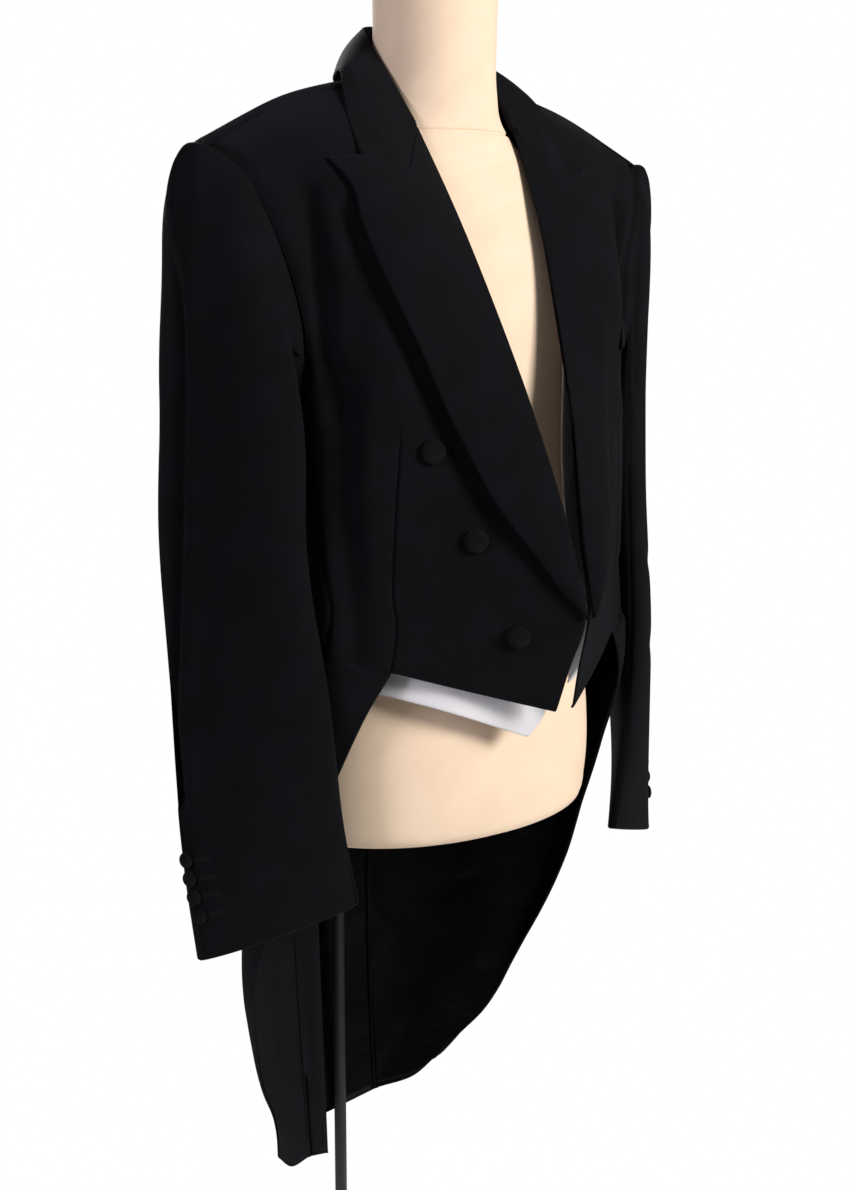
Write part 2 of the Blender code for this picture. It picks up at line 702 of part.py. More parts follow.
def add_panel(name, surface, steps, look, side="left", wall=cloth, mirrored=False, trims=no_trims):
    """Panel of cloth: a grid laid on surface(u, v), with its wall on the inner side."""
    across, up = steps
    points = np.array([[surface(i / across, j / up) for j in range(up + 1)] for i in range(across + 1)])
    points = trimmed(points, trims)
    shape = bmesh.new()
    bmesh.ops.create_grid(shape, x_segments=across, y_segments=up, size=0.5)
    sign = -1.0 if side == "right" else 1.0
    for corner in shape.verts:
        i = round((corner.co.x + 0.5) * across)
        j = round((corner.co.y + 0.5) * up)
        x, y, z = hung(side, points[i, j])
        corner.co = (x * sign, y, z + shoulder_z)
    if sign < 0:
        bmesh.ops.reverse_faces(shape, faces=shape.faces)
    mesh = bpy.data.meshes.new(name)
    shape.to_mesh(mesh)
    shape.free()
    mesh.shade_smooth()
    panel = place(name, mesh, look)
    if mirrored:
        mirror = panel.modifiers.new("Mirror", "MIRROR")
        mirror.merge_threshold = 0.0001
    shell = panel.modifiers.new("Wall", "SOLIDIFY")
    shell.thickness = wall
    shell.offset = -1.0
    return panel


def both_sides(name, surface, steps, look, trims=no_trims):
    for side in ("right", "left"):
        add_panel(name + "_" + side, surface, steps, look, side, trims=trims)


def add_loft(name, rings, look):
    """Closed solid through level rings of equal count, capped flat."""
    shape = bmesh.new()
    loops = [[shape.verts.new(point) for point in ring] for ring in rings]
    count = len(loops[0])
    for lower, upper in zip(loops, loops[1:]):
        for i in range(count):
            j = (i + 1) % count
            shape.faces.new((lower[i], lower[j], upper[j], upper[i]))
    shape.faces.new(loops[0][::-1])
    shape.faces.new(loops[-1])
    mesh = bpy.data.meshes.new(name)
    shape.to_mesh(mesh)
    shape.free()
    mesh.shade_smooth()
    mesh.set_sharp_from_angle(angle=math.radians(40))
    return place(name, mesh, look)


def add_turned(name, profile, place_at, axis, look, steps=16):
    """Turned piece: profile of radius and height screwed about an axis through place_at."""
    mesh = bpy.data.meshes.new(name)
    points = [(radius, 0.0, height) for radius, height in profile]
    edges = [(i, i + 1) for i in range(len(points) - 1)]
    mesh.from_pydata(points, edges, [])
    made = place(name, mesh, look)
    turn = made.modifiers.new("Turn", "SCREW")
    turn.steps = steps
    turn.render_steps = steps
    turn.use_merge_vertices = True
    turn.merge_threshold = 0.0001
    made.location = place_at
    made.rotation_mode = "QUATERNION"
    made.rotation_quaternion = axis.to_track_quat("Z", "Y")
    return made


wool_look = ((0.012, 0.012, 0.014), 0.75)
lining_look = ((0.008, 0.008, 0.009), 0.35)
button_look = ((0.014, 0.014, 0.016), 0.65)
vest_look = ((0.82, 0.79, 0.80), 0.55)
form_look = ((0.83, 0.66, 0.47), 0.70)
steel_look = ((0.02, 0.02, 0.022), 0.40, 0.6)
collection_name = "evening_tailcoat"


def build_coat():
    both_sides("coat_front", front_surface, (9, 16), wool_look, front_trims)
    both_sides("side_body", side_surface, (4, 5), wool_look, side_trims)
    both_sides("top_sleeve", top_sleeve, (10, 16), wool_look, sleeve_trims)
    both_sides("under_sleeve", under_sleeve, (8, 12), wool_look, sleeve_trims)
    add_panel("collar", collar_surface, (12, 7), wool_look, mirrored=True, trims=collar_trims)
    add_panel("breast_welt", welt_surface, (4, 2), wool_look)
    for side in ("right", "left"):
        def back(u, v, side=side):
            return back_surface(side, u, v)

        def skirt(u, v, side=side):
            return skirt_surface(side, u, v)

        def back_lining(u, v):
            return lined(back, lining_margin, tail_lining_ease)(u, v * lining_top)

        def lapel(u, v, side=side):
            return lapel_surface(side, u, v)

        add_panel("lapel_" + side, lapel, (6, 14), wool_look, side, trims=lapel_trims)
        add_panel("coat_back_" + side, back, (5, 22), wool_look, side, trims=back_trims)
        add_panel("skirt_" + side, skirt, (8, 12), wool_look, side, trims=skirt_trims)
        add_panel("skirt_lining_" + side, lined(skirt, lining_margin, skirt_lining_ease), (8, 12),
                  lining_look, side, lining_cloth)
        add_panel("tail_lining_" + side, back_lining, (3, 9), lining_look, side, lining_cloth)


def build_buttons():
    for side, sign in (("right", -1.0), ("left", 1.0)):
        for count, (x, z) in enumerate(front_button_places[side], start=1):
            point, normal = on_front(x, z, front_button_gap)
            add_button("front_button_%s_%d" % (side, count), hung(side, point), normal, sign, front_button_radius, 14)
        for count, (turn, z) in enumerate(cuff_button_places, start=1):
            point, normal = on_sleeve(turn, z, seam)
            add_button("cuff_button_%s_%d" % (side, count), hung(side, point), normal, sign, cuff_button_radius, 10)


def add_button(name, point, normal, sign, radius, steps):
    """Domed covered button on a short shank."""
    spot = Vector((point[0] * sign, point[1], point[2] + shoulder_z))
    axis = Vector((normal[0] * sign, normal[1], normal[2]))
    profile = [(radius * share, radius * rise) for share, rise in button_profile]
    add_turned(name, profile, spot, axis, button_look, steps)


def build_waistcoat():
    for side in ("right", "left"):
        add_panel("waistcoat_front_" + side, lambda u, v: vest_front(side, u, v), (7, 16), vest_look,
                  side, vest_cloth)
    add_panel("waistcoat_back", vest_back, (8, 14), vest_look, wall=vest_cloth, mirrored=True)


def form_ring(z, half_width, half_depth, middle):
    """Level ring of points round the form."""
    ring = []
    for i in range(form_sides):
        turn = 2 * math.pi * i / form_sides
        ring.append((half_width * math.cos(turn), middle + half_depth * math.sin(turn), z + shoulder_z))
    return ring


def build_form():
    add_loft("form_torso", [form_ring(*row) for row in form_rows], form_look)
    top, half_width, half_depth, middle = form_rows[-1]
    rings = []
    for share, rise in neck_cap_profile:
        rings.append(form_ring(top + seam + rise, half_width * share, half_depth * share, middle))
    add_loft("neck_cap", rings, form_look)


def add_cylinder(name, radius, low, high, y, look, segments=24):
    """Upright round piece on the centre line."""
    shape = bmesh.new()
    bmesh.ops.create_cone(shape, cap_ends=True, segments=segments, radius1=radius, radius2=radius,
                          depth=high - low)
    mesh = bpy.data.meshes.new(name)
    shape.to_mesh(mesh)
    shape.free()
    mesh.shade_smooth()
    mesh.set_sharp_from_angle(angle=math.radians(40))
    made = place(name, mesh, look)
    made.location = (0.0, y, (low + high) / 2)
    return made


def build_stand():
    base_z = form_rows[0][0] + shoulder_z
    bracket_low = base_z - seam - bracket_thickness
    outline = bpy.data.curves.new("form_bracket_outline", "CURVE")
    outline.dimensions = "2D"
    outline.fill_mode = "BOTH"
    outline.extrude = bracket_thickness / 2
    corners = []
    for i in range(9):
        turn = math.pi * i / 8
        corners.append((bracket_width[1] * math.cos(turn), pole_y + bracket_width[1] * math.sin(turn)))
    for i in range(13):
        turn = math.pi + math.pi * i / 12
        corners.append((bracket_width[0] * math.cos(turn),
                        bracket_front_y + bracket_width[0] * math.sin(turn)))
    run = outline.splines.new("POLY")
    run.points.add(len(corners) - 1)
    for point, (x, y) in zip(run.points, corners):
        point.co = (x, y, 0.0, 1.0)
    run.use_cyclic_u = True
    bracket = bpy.data.objects.new("form_bracket", outline)
    bpy.data.collections[collection_name].objects.link(bracket)
    outline.materials.append(material("form_bracket_look", *steel_look))
    bracket.location = (0.0, 0.0, bracket_low + bracket_thickness / 2)

    foot_low = plate_size[2] + seam
    foot_high = foot_low + foot_height
    add_cylinder("pole_foot", foot_radius, foot_low, foot_high, pole_y, steel_look)
    add_cylinder("pole", pole_radius, foot_high + seam, bracket_low - seam, pole_y, steel_look, 16)

    bpy.ops.mesh.primitive_cube_add(size=1.0, location=(0.0, plate_y, plate_size[2] / 2))
    plate = bpy.context.active_object
    plate.name = "base_plate"
    plate.data.name = "base_plate"
    plate.data.transform(Matrix.Diagonal((*plate_size, 1.0)))
    for owner in list(plate.users_collection):
        owner.objects.unlink(plate)
    bpy.data.collections[collection_name].objects.link(plate)
    plate.data.materials.append(material("base_plate_look", *steel_look))
    corner = plate.modifiers.new("Corners", "BEVEL")
    corner.width = plate_corner
    corner.segments = 5
    corner.limit_method = "WEIGHT"
    weights = plate.data.attributes.new("bevel_weight_edge", "FLOAT", "EDGE")
    for edge in plate.data.edges:
        ends = [plate.data.vertices[i].co for i in edge.vertices]
        weights.data[edge.index].value = 1.0 if abs(ends[0].z - ends[1].z) > plate_size[2] / 2 else 0.0


def ready():
    for old in list(bpy.data.objects):
        bpy.data.objects.remove(old, do_unlink=True)
    made = bpy.data.collections.new(collection_name)
    bpy.context.scene.collection.children.link(made)


ready()
build_coat()
build_buttons()
build_waistcoat()
build_form()
build_stand()
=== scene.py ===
import math

import bpy
import numpy as np
from mathutils import Matrix, Vector


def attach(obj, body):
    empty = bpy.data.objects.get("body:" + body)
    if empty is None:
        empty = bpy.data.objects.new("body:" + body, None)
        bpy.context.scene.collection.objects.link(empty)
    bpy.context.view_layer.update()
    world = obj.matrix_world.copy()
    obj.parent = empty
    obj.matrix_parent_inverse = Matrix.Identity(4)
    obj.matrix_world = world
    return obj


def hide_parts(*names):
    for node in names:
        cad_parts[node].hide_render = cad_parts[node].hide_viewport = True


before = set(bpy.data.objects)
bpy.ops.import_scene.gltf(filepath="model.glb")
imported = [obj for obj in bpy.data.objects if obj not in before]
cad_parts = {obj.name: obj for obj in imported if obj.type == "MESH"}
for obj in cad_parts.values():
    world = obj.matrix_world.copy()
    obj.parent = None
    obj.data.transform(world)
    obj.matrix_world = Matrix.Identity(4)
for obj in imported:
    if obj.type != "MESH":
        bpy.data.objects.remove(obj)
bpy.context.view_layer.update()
scene = bpy.context.scene
fine = 1.0

# Driving sizes in metres, heights counted from the shoulders
shoulderZ = 1.430
seam = 0.0003
armholeZ = -0.205
waistSeamZ = -0.392

# Coat round the body at falling heights: front edge, flank, front of the side,
# side, blade and centre back, as x and y
bodyColumns = ("z", "edgeX", "edgeY", "flankX", "flankY", "frontX", "frontY",
               "sideX", "sideY", "bladeX", "bladeY", "backY")
bodyRows = (
    (-0.205, 0.021, -0.139, 0.118, -0.094, 0.148, -0.068, 0.168, 0.015, 0.122, 0.126, 0.151),
    (-0.300, 0.007, -0.168, 0.121, -0.093, 0.150, -0.070, 0.163, 0.015, 0.114, 0.114, 0.138),
    (-0.357, 0.002, -0.184, 0.121, -0.092, 0.151, -0.073, 0.161, 0.015, 0.110, 0.110, 0.132),
    (-0.402, 0.006, -0.170, 0.121, -0.091, 0.152, -0.074, 0.163, 0.015, 0.113, 0.117, 0.141),
    (-0.440, 0.010, -0.159, 0.122, -0.089, 0.153, -0.072, 0.166, 0.015, 0.117, 0.126, 0.152),
)

# Share of the half girth at which the side body starts and ends
seamColumns = ("z", "sideSeam", "backSeam")
seamRows = (
    (-0.205, 0.415, 0.700),
    (-0.300, 0.415, 0.790),
    (-0.357, 0.415, 0.850),
    (-0.440, 0.415, 0.870),
)

# Curves of the upper coat, as x, y and z
rollLine = ((0.024, -0.137, -0.205), (0.033, -0.108, -0.135), (0.043, -0.076, -0.060),
            (0.053, -0.035, 0.010), (0.061, -0.008, 0.042), (0.070, 0.014, 0.060))
armholeFront = ((0.166, -0.044, -0.150), (0.171, -0.045, -0.090), (0.191, -0.036, -0.042),
                (0.206, -0.020, -0.012), (0.226, 0.004, 0.003))
armholeBack = ((0.164, 0.102, -0.150), (0.178, 0.092, -0.090), (0.195, 0.065, -0.040),
               (0.210, 0.034, -0.012), (0.226, 0.004, 0.003))
shoulderSeam = ((0.070, 0.014, 0.060), (0.145, 0.013, 0.041), (0.226, 0.004, 0.003))
backNeck = ((0.070, 0.014, 0.060), (0.056, 0.048, 0.062), (0.028, 0.072, 0.069), (0.000, 0.076, 0.070))
centreBack = ((0.000, 0.151, -0.205), (0.000, 0.149, -0.130), (0.000, 0.136, -0.050),
              (0.000, 0.106, 0.025), (0.000, 0.076, 0.070))
backShape = {"neckShare": 0.68, "bladeFullness": 0.010}
chest = {"fullness": 0.012, "hollow": 0.011, "hollowWay": (-0.6, 0.8, 0.0)}

# Hem of the fronts, as share of half girth and z
frontHem = ((0.0000, -0.437), (0.2767, -0.402), (0.4150, -0.392))
cornerShare = 0.2767

# Front edge of the skirts from the waist seam round to the hem, as x, y and z
cutaway = ((0.122, -0.091, -0.4023), (0.144, -0.079, -0.444), (0.1500, -0.067, -0.473),
           (0.1545, -0.053, -0.500), (0.161, -0.032, -0.545), (0.168, -0.009, -0.590),
           (0.174, 0.012, -0.638), (0.172, 0.040, -0.699), (0.156, 0.065, -0.759),
           (0.134, 0.090, -0.824))
cutawayEnd = {"left": ((0.101, 0.120, -0.871),), "right": ((0.112, 0.105, -0.872), (0.100, 0.120, -0.918))}

# Back of each tail below the waist: side seam and vent edge, as x and y
tailColumns = ("z", "seamX", "seamY", "ventX", "ventY")
tailRows = {
    "left": (
        (-0.440, 0.064, 0.1475, -0.006, 0.1565),
        (-0.500, 0.057, 0.1620, -0.020, 0.1740),
        (-0.560, 0.053, 0.1700, -0.032, 0.1800),
        (-0.650, 0.050, 0.1730, -0.045, 0.1830),
        (-0.780, 0.047, 0.1680, -0.055, 0.1830),
        (-0.935, 0.045, 0.1550, -0.060, 0.1790),
    ),
    "right": (
        (-0.440, 0.064, 0.1475, 0.010, 0.1510),
        (-0.500, 0.057, 0.1590, 0.016, 0.1630),
        (-0.560, 0.053, 0.1640, 0.018, 0.1680),
        (-0.650, 0.050, 0.1630, 0.020, 0.1670),
        (-0.780, 0.049, 0.1560, 0.022, 0.1600),
        (-0.960, 0.047, 0.1440, 0.022, 0.1510),
    ),
}
tailHem = {"left": (-0.910, -0.936), "right": (-0.948, -0.956)}
tailRipple = 0.0018

# Side of the skirts under the sleeves: x, its slope with y, the y it is read at, and the
# flare below the hips
skirtShape = {"side": (0.1590, 0.15, -0.050), "flare": 0.05, "gap": (0.0006, -0.0002, 0.0),
              "hemBow": (0.004, -0.002, -0.008), "round": 0.004}

# Sleeve at falling heights: centre, half width, half thickness, toe-in and cuff slant
sleeveColumns = ("z", "x", "y", "halfWidth", "halfThick", "toe", "slant")
sleeveRows = (
    (-0.205, 0.2040, 0.0100, 0.0630, 0.0290, 20.5, 0.00),
    (-0.280, 0.2070, 0.0060, 0.0650, 0.0270, 24.0, 0.00),
    (-0.420, 0.2080, -0.0200, 0.0660, 0.0220, 37.0, 0.00),
    (-0.540, 0.2060, -0.0325, 0.0650, 0.0170, 50.0, 0.20),
    (-0.612, 0.1985, -0.0405, 0.0650, 0.0130, 59.0, 0.32),
)
sleeveSeams = ((-14.0, 172.0), (-10.0, 192.0))
cap = {"rise": 0.122, "reach": 0.034, "drop": 0.010}

# Roll line of the collar, its outer edge and the foot of its stand, from centre back
collarRoll = ((0.000, 0.070, 0.108), (0.030, 0.060, 0.106), (0.0495, 0.030, 0.091),
              (0.0525, 0.002, 0.064), (0.0510, -0.032, 0.023))
collarEdge = ((0.000, 0.104, 0.057), (0.041, 0.089, 0.060), (0.0715, 0.049, 0.0635),
              (0.092, 0.012, 0.0605), (0.108, -0.018, 0.030), (0.117, -0.0492, -0.0045))
collarFoot = ((0.000, 0.0614, 0.074), (0.036, 0.056, 0.073), (0.057, 0.024, 0.068),
              (0.0545, 0.000, 0.052), (0.0500, -0.029, 0.0205))
collarShape = {"split": 0.36, "bendFrom": 0.70, "crown": 0.004}
gorgeEnd = (0.0865, -0.0664, -0.0245)

# Lapel: roll line as x, y and z, outer edge and top edge as x and z
lapelRoll = ((0.050, -0.034, 0.019), (0.040, -0.081, -0.062), (0.030, -0.115, -0.135),
             (0.0195, -0.143, -0.205), (0.0055, -0.172, -0.300), (0.0015, -0.187, -0.357))
lapelEdge = ((0.0035, -0.3560), (0.0138, -0.3413), (0.0330, -0.3051), (0.0534, -0.2702),
             (0.0760, -0.2178), (0.0985, -0.1640), (0.1150, -0.1200), (0.1250, -0.0770),
             (0.1302, -0.0514), (0.1315, -0.0307), (0.1433, -0.0085))
lapelTop = ((0.0500, 0.0185), (0.0860, -0.0262), (0.1155, -0.0068), (0.1433, -0.0085))
lapelShape = {"bendFrom": 0.72, "lift": 0.0034, "crown": 0.0035, "bellyReach": 0.62}

# How far each lapel stands off the front, at even steps from the break up to the gorge
lapelBelly = {"right": (0.0, 0.0018, 0.0040, 0.0042, 0.0030, 0.0015, 0.0, 0.0, 0.0, 0.0, 0.0),
              "left": (0.0, 0.0100, 0.0120, 0.0095, 0.0065, 0.0040, 0.0030, 0.0025, 0.0015, 0.0, 0.0)}

# How the right side hangs unlike the left: centre of each fuller place, its reach and its shift
hang = {"left": (),
        "right": (((0.172, -0.045, -0.085), 0.055, (0.0070, 0.0040, 0.0)),
                  ((0.182, -0.052, -0.225), 0.070, (-0.0040, -0.0050, 0.0)),
                  ((0.246, 0.018, -0.050), 0.050, (0.0080, 0.0040, 0.0)))}

# Front buttons as x and z, cuff buttons as a turn of the sleeve and a height
frontButtonPlaces = {"right": ((0.0942, -0.2280), (0.0675, -0.2968), (0.0428, -0.3715)),
                     "left": ((0.0900, -0.2340), (0.0600, -0.2920), (0.0245, -0.3480))}
cuffButtonPlaces = ((156.0, -0.5385), (154.5, -0.5520), (152.5, -0.5655), (149.5, -0.5795))

# Breast pocket welt on the left front: inner end x, outer end x, lower z at each end, height
welt = {"inner": (0.117, -0.158), "outer": (0.158, -0.146), "height": 0.022}
weltLift = 0.0030

# Waistcoat: opening edge, side and armhole edge, and hem, as x, y and z
vestEdge = {
    "left": ((0.050, -0.112, -0.432), (0.048, -0.118, -0.360), (0.047, -0.116, -0.290),
             (0.042, -0.111, -0.215), (0.046, -0.100, -0.130), (0.060, -0.052, -0.030),
             (0.074, 0.004, 0.040)),
    "right": ((0.012, -0.130, -0.464), (-0.002, -0.137, -0.441), (0.010, -0.134, -0.390),
              (0.032, -0.124, -0.290),
              (0.040, -0.113, -0.215), (0.046, -0.100, -0.130), (0.060, -0.052, -0.030),
              (0.074, 0.004, 0.040)),
}
vestSide = ((0.1560, 0.006, -0.415), (0.1500, 0.006, -0.357), (0.1530, 0.006, -0.290),
            (0.1570, 0.003, -0.215), (0.1500, -0.036, -0.120), (0.1240, -0.020, -0.025),
            (0.1200, 0.004, 0.026))
vestHemMid = {"left": (0.108, -0.082, -0.424), "right": (0.090, -0.102, -0.432)}
vestShape = {"fullness": 0.006, "gap": 0.0037, "frontGap": 0.0030, "backTurns": (3.0, 90.0),
             "backTop": (-0.218, -0.045), "backHem": -0.412, "backRise": 2.2}

# Dress form: height, half width, half depth and middle y
formRows = (
    (-0.5610, 0.140, 0.101, 0.018),
    (-0.5585, 0.149, 0.110, 0.018),
    (-0.5520, 0.154, 0.115, 0.018),
    (-0.5350, 0.157, 0.118, 0.018),
    (-0.4750, 0.157, 0.117, 0.016),
    (-0.4200, 0.148, 0.108, 0.012),
    (-0.3600, 0.137, 0.099, 0.008),
    (-0.3000, 0.140, 0.102, 0.007),
    (-0.2200, 0.150, 0.110, 0.008),
    (-0.1500, 0.152, 0.108, 0.012),
    (-0.0900, 0.148, 0.098, 0.016),
    (-0.0450, 0.134, 0.084, 0.019),
    (-0.0150, 0.110, 0.072, 0.018),
    (0.0050, 0.082, 0.064, 0.016),
    (0.0250, 0.060, 0.057, 0.013),
    (0.0500, 0.052, 0.053, 0.010),
    (0.0900, 0.0500, 0.0515, 0.008),
    (0.1400, 0.0510, 0.0520, 0.007),
)


# Smooth curve through values at rising knots, read at t
def spline(knots, values, t):
    knots = np.asarray(knots, float)
    values = np.asarray(values, float)
    slopes = np.gradient(values, knots, axis=0)
    t = min(max(t, knots[0]), knots[-1])
    i = min(int(np.searchsorted(knots, t, side="right")) - 1, len(knots) - 2)
    step = knots[i + 1] - knots[i]
    f = (t - knots[i]) / step
    return ((2 * f**3 - 3 * f**2 + 1) * values[i] + (f**3 - 2 * f**2 + f) * step * slopes[i]
            + (3 * f**2 - 2 * f**3) * values[i + 1] + (f**3 - f**2) * step * slopes[i + 1])


# Share of a curve's length at each of its points
def chordKnots(points):
    points = np.asarray(points, float)
    lengths = np.linalg.norm(np.diff(points, axis=0), axis=1)
    total = np.concatenate(([0.0], np.cumsum(lengths)))
    return total / total[-1]


# Point at share t of a smooth curve through points
def along(points, t):
    return spline(chordKnots(points), points, t)


# Point at share t of the straight runs through points
def alongCorners(points, t):
    points = np.asarray(points, float)
    knots = chordKnots(points)
    return np.array([np.interp(t, knots, column) for column in points.T])


# Row of a table of falling heights at height z, as a dictionary
def readTable(rows, columns, z):
    table = np.array(rows)[::-1]
    return dict(zip(columns[1:], spline(table[:, 0], table[:, 1:], z)))


# Points of the coat round the body at height z, from front edge to centre back
def bodySection(z):
    row = readTable(bodyRows, bodyColumns, z)
    edge = np.array((row["edgeX"], row["edgeY"]))
    flank = np.array((row["flankX"], row["flankY"]))
    back = row["backY"]
    return np.array((edge, edge * 0.65 + flank * 0.35, edge * 0.3 + flank * 0.7, flank,
                     (row["frontX"], row["frontY"]), (row["sideX"], row["sideY"]),
                     (row["bladeX"], row["bladeY"]), (row["bladeX"] * 0.45, back * 0.985),
                     (0.0, back)))


# Point of the coat body at a share of its half girth and height z
def body(share, z):
    x, y = along(bodySection(z), share)
    return np.array((x, y, z))


# Point of the patch between four edge curves, each read from 0 to 1
def coons(bottom, top, start, end, u, v):
    ruledV = (1 - v) * bottom(u) + v * top(u)
    ruledU = (1 - u) * start(v) + u * end(v)
    corners = ((1 - u) * (1 - v) * bottom(0) + u * (1 - v) * bottom(1)
               + (1 - u) * v * top(0) + u * v * top(1))
    return ruledV + ruledU - corners


def seamsAt(z):
    return readTable(seamRows, seamColumns, z)


# Half width, half depth and middle y of the form at height z
def formSize(z):
    table = np.array(formRows)
    return spline(table[:, 0], table[:, 1:], z)


def frontHemZ(share):
    rows = np.array(frontHem)
    return float(np.interp(share, rows[:, 0], rows[:, 1]))


frontSplit = 0.5


# Chest of the front, from the armhole line up to the shoulder seam
def upperFront(u, v):
    side = seamsAt(armholeZ)["sideSeam"]
    outer = [tuple(body(side, armholeZ))] + list(armholeFront)
    point = coons(lambda t: body(t * side, armholeZ), lambda t: along(shoulderSeam, t),
                  lambda t: along(rollLine, t), lambda t: along(outer, t), u, v)
    point[1] -= chest["fullness"] * 20 * u * (1 - u)**1.5 * v * (1 - v)
    hollow = chest["hollow"] * math.sin(math.pi * u**3)**2 * math.sin(math.pi * v**0.6)
    return point + hollow * np.array(chest["hollowWay"])


# Front from the hem (v 0) to the shoulder (v 1), u from front edge to side
def frontSurface(u, v):
    if v >= frontSplit:
        return upperFront(u, (v - frontSplit) / (1 - frontSplit))
    share = u * seamsAt(armholeZ)["sideSeam"]
    f = v / frontSplit
    z = frontHemZ(share) * (1 - f) + armholeZ * f
    return body(share, z)


# Side body from the waist seam up to the armhole, u from front to back
def sideSurface(u, v):
    f = v
    z = waistSeamZ * (1 - f) + (armholeZ - seam) * f
    limits = seamsAt(z)
    start = limits["sideSeam"] + 0.001
    end = limits["backSeam"] - 0.001
    return body(start * (1 - u) + end * u, z)


# Back above the armhole line, u from armhole to centre back
def upperBack(u, v):
    start = seamsAt(armholeZ)["backSeam"]
    outer = [tuple(body(start, armholeZ))] + list(armholeBack)

    def top(t):
        if t < backShape["neckShare"]:
            return along(shoulderSeam, 1 - t / backShape["neckShare"])
        return along(backNeck, (t - backShape["neckShare"]) / (1 - backShape["neckShare"]))

    point = coons(lambda t: body(start * (1 - t) + t, armholeZ), top,
                  lambda t: along(outer, t), lambda t: along(centreBack, t), u, v)
    point[1] += backShape["bladeFullness"] * math.sin(math.pi * u)**2 * 4 * v * (1 - v)
    return point


def tailBack(side, u, z):
    row = readTable(tailRows[side], tailColumns, z)
    seamPoint = np.array((row["seamX"], row["seamY"], z))
    ventPoint = np.array((row["ventX"], row["ventY"], z))
    return seamPoint * (1 - u) + ventPoint * u


tailTop = -0.440
ventTop = -0.400
backSplits = (10 / 22, 15 / 22)
centreGap = 0.0003


# Point of the back below the armhole line, u from side seam to centre or vent
def backPoint(side, u, z):
    if z < tailTop:
        return tailBack(side, u, z)
    start = seamsAt(max(z, ventTop))["backSeam"]
    high = body(start * (1 - u) + u, max(z, ventTop))
    if z >= ventTop:
        return high
    low = tailBack(side, u, tailTop)
    f = (z - tailTop) / (ventTop - tailTop)
    point = low * (1 - f) + high * f
    point[2] = z
    return point


# Back in one length from tail hem (v 0) to shoulder, u from side to centre
def backSurface(side, u, v):
    low, high = backSplits
    if v >= high:
        point = upperBack(u, (v - high) / (1 - high))
        point[0] = max(point[0], centreGap)
        return point
    if v >= low:
        f = (v - low) / (high - low)
        z = ventTop * (1 - f) + armholeZ * f
        point = backPoint(side, u, z)
        point[0] = max(point[0], centreGap)
        return point
    hem = tailHem[side][0] * (1 - u) + tailHem[side][1] * u
    f = v / low
    point = backPoint(side, u, hem * (1 - f) + ventTop * f)
    if f < 1:
        point[1] += tailRipple * math.sin(u * math.pi * 2.0) * (1 - f) * min(1.0, f * 4)
    return point


# Skirt from hem (v 0) up to the waist seam, u from cutaway edge to back seam
def skirtSurface(side, u, v):
    edge = list(cutaway) + list(cutawayEnd[side])
    topZ = waistSeamZ - seam
    endShare = seamsAt(topZ)["backSeam"] - 0.001

    def waist(t):
        share = cornerShare * (1 - t) + endShare * t
        return body(share, frontHemZ(share) - seam)

    def backSeam(t):
        z = tailHem[side][0] * (1 - t) + topZ * t
        return backPoint(side, 0.0, z) + np.array(skirtShape["gap"])

    def hem(t):
        start = np.array(edge[-1])
        end = backSeam(0.0)
        mid = (start + end) / 2 + np.array(skirtShape["hemBow"])
        return along((start, mid, end), t)

    point = coons(hem, waist, lambda t: along(edge[::-1], t), backSeam, u, v)
    ripple = tailRipple * math.sin(u * math.pi * 3.0) * (1 - v) * min(1.0, v * 3)
    point[0] += ripple * 0.6
    point[1] += ripple
    widest = (skirtShape["side"][0] + skirtShape["side"][1] * (point[1] - skirtShape["side"][2])
              + skirtShape["flare"] * max(0.0, tailTop - point[2]))
    gap = point[0] - widest
    held = (point[0] + widest - math.hypot(gap, skirtShape["round"])) / 2
    hold = min(1.0, (1 - v) * 6)
    point[0] = point[0] * (1 - hold) + held * hold
    return point


# Point of the sleeve at a turn in degrees from its front fold, over the outside
def sleeveRing(turn, z):
    row = readTable(sleeveRows, sleeveColumns, z)
    toe = math.radians(row["toe"])
    turn = math.radians(turn)
    forward = np.array((-math.sin(toe), -math.cos(toe)))
    outward = np.array((math.cos(toe), -math.sin(toe)))
    reach = row["halfWidth"] * math.cos(turn)
    x, y = (row["x"], row["y"]) + forward * reach + outward * row["halfThick"] * math.sin(turn)
    return np.array((x, y, z + row["slant"] * reach))


# Point a given height above the sleeve at a turn and height, and the normal there
def onSleeve(turn, z, lift):
    point = sleeveRing(turn, z)
    across = sleeveRing(turn + 2, z) - sleeveRing(turn - 2, z)
    up = sleeveRing(turn, z + 0.005) - sleeveRing(turn, z - 0.005)
    normal = np.cross(across, up)
    normal = normal / np.linalg.norm(normal)
    return point + normal * lift, normal


cuffZ = -0.612
capSplit = 10 / 16
underSplit = 9 / 12
underDrop = 0.016
armholeNotch = 0.22


# Armhole from the front notch over the shoulder to the back notch
def armholeOver(t):
    side = body(seamsAt(armholeZ)["sideSeam"], armholeZ)
    back = body(seamsAt(armholeZ)["backSeam"], armholeZ)
    frontHalf = [tuple(side)] + list(armholeFront)
    backHalf = [tuple(back)] + list(armholeBack)
    if t < 0.5:
        return along(frontHalf, armholeNotch + (1 - armholeNotch) * t * 2)
    return along(backHalf, armholeNotch + (1 - armholeNotch) * (1 - t) * 2)


# Turns of the front and back sleeve seams at height z
def sleeveTurns(z):
    low, high = np.array(sleeveSeams)
    f = (z - cuffZ) / (armholeZ - cuffZ)
    return low * (1 - f) + high * f


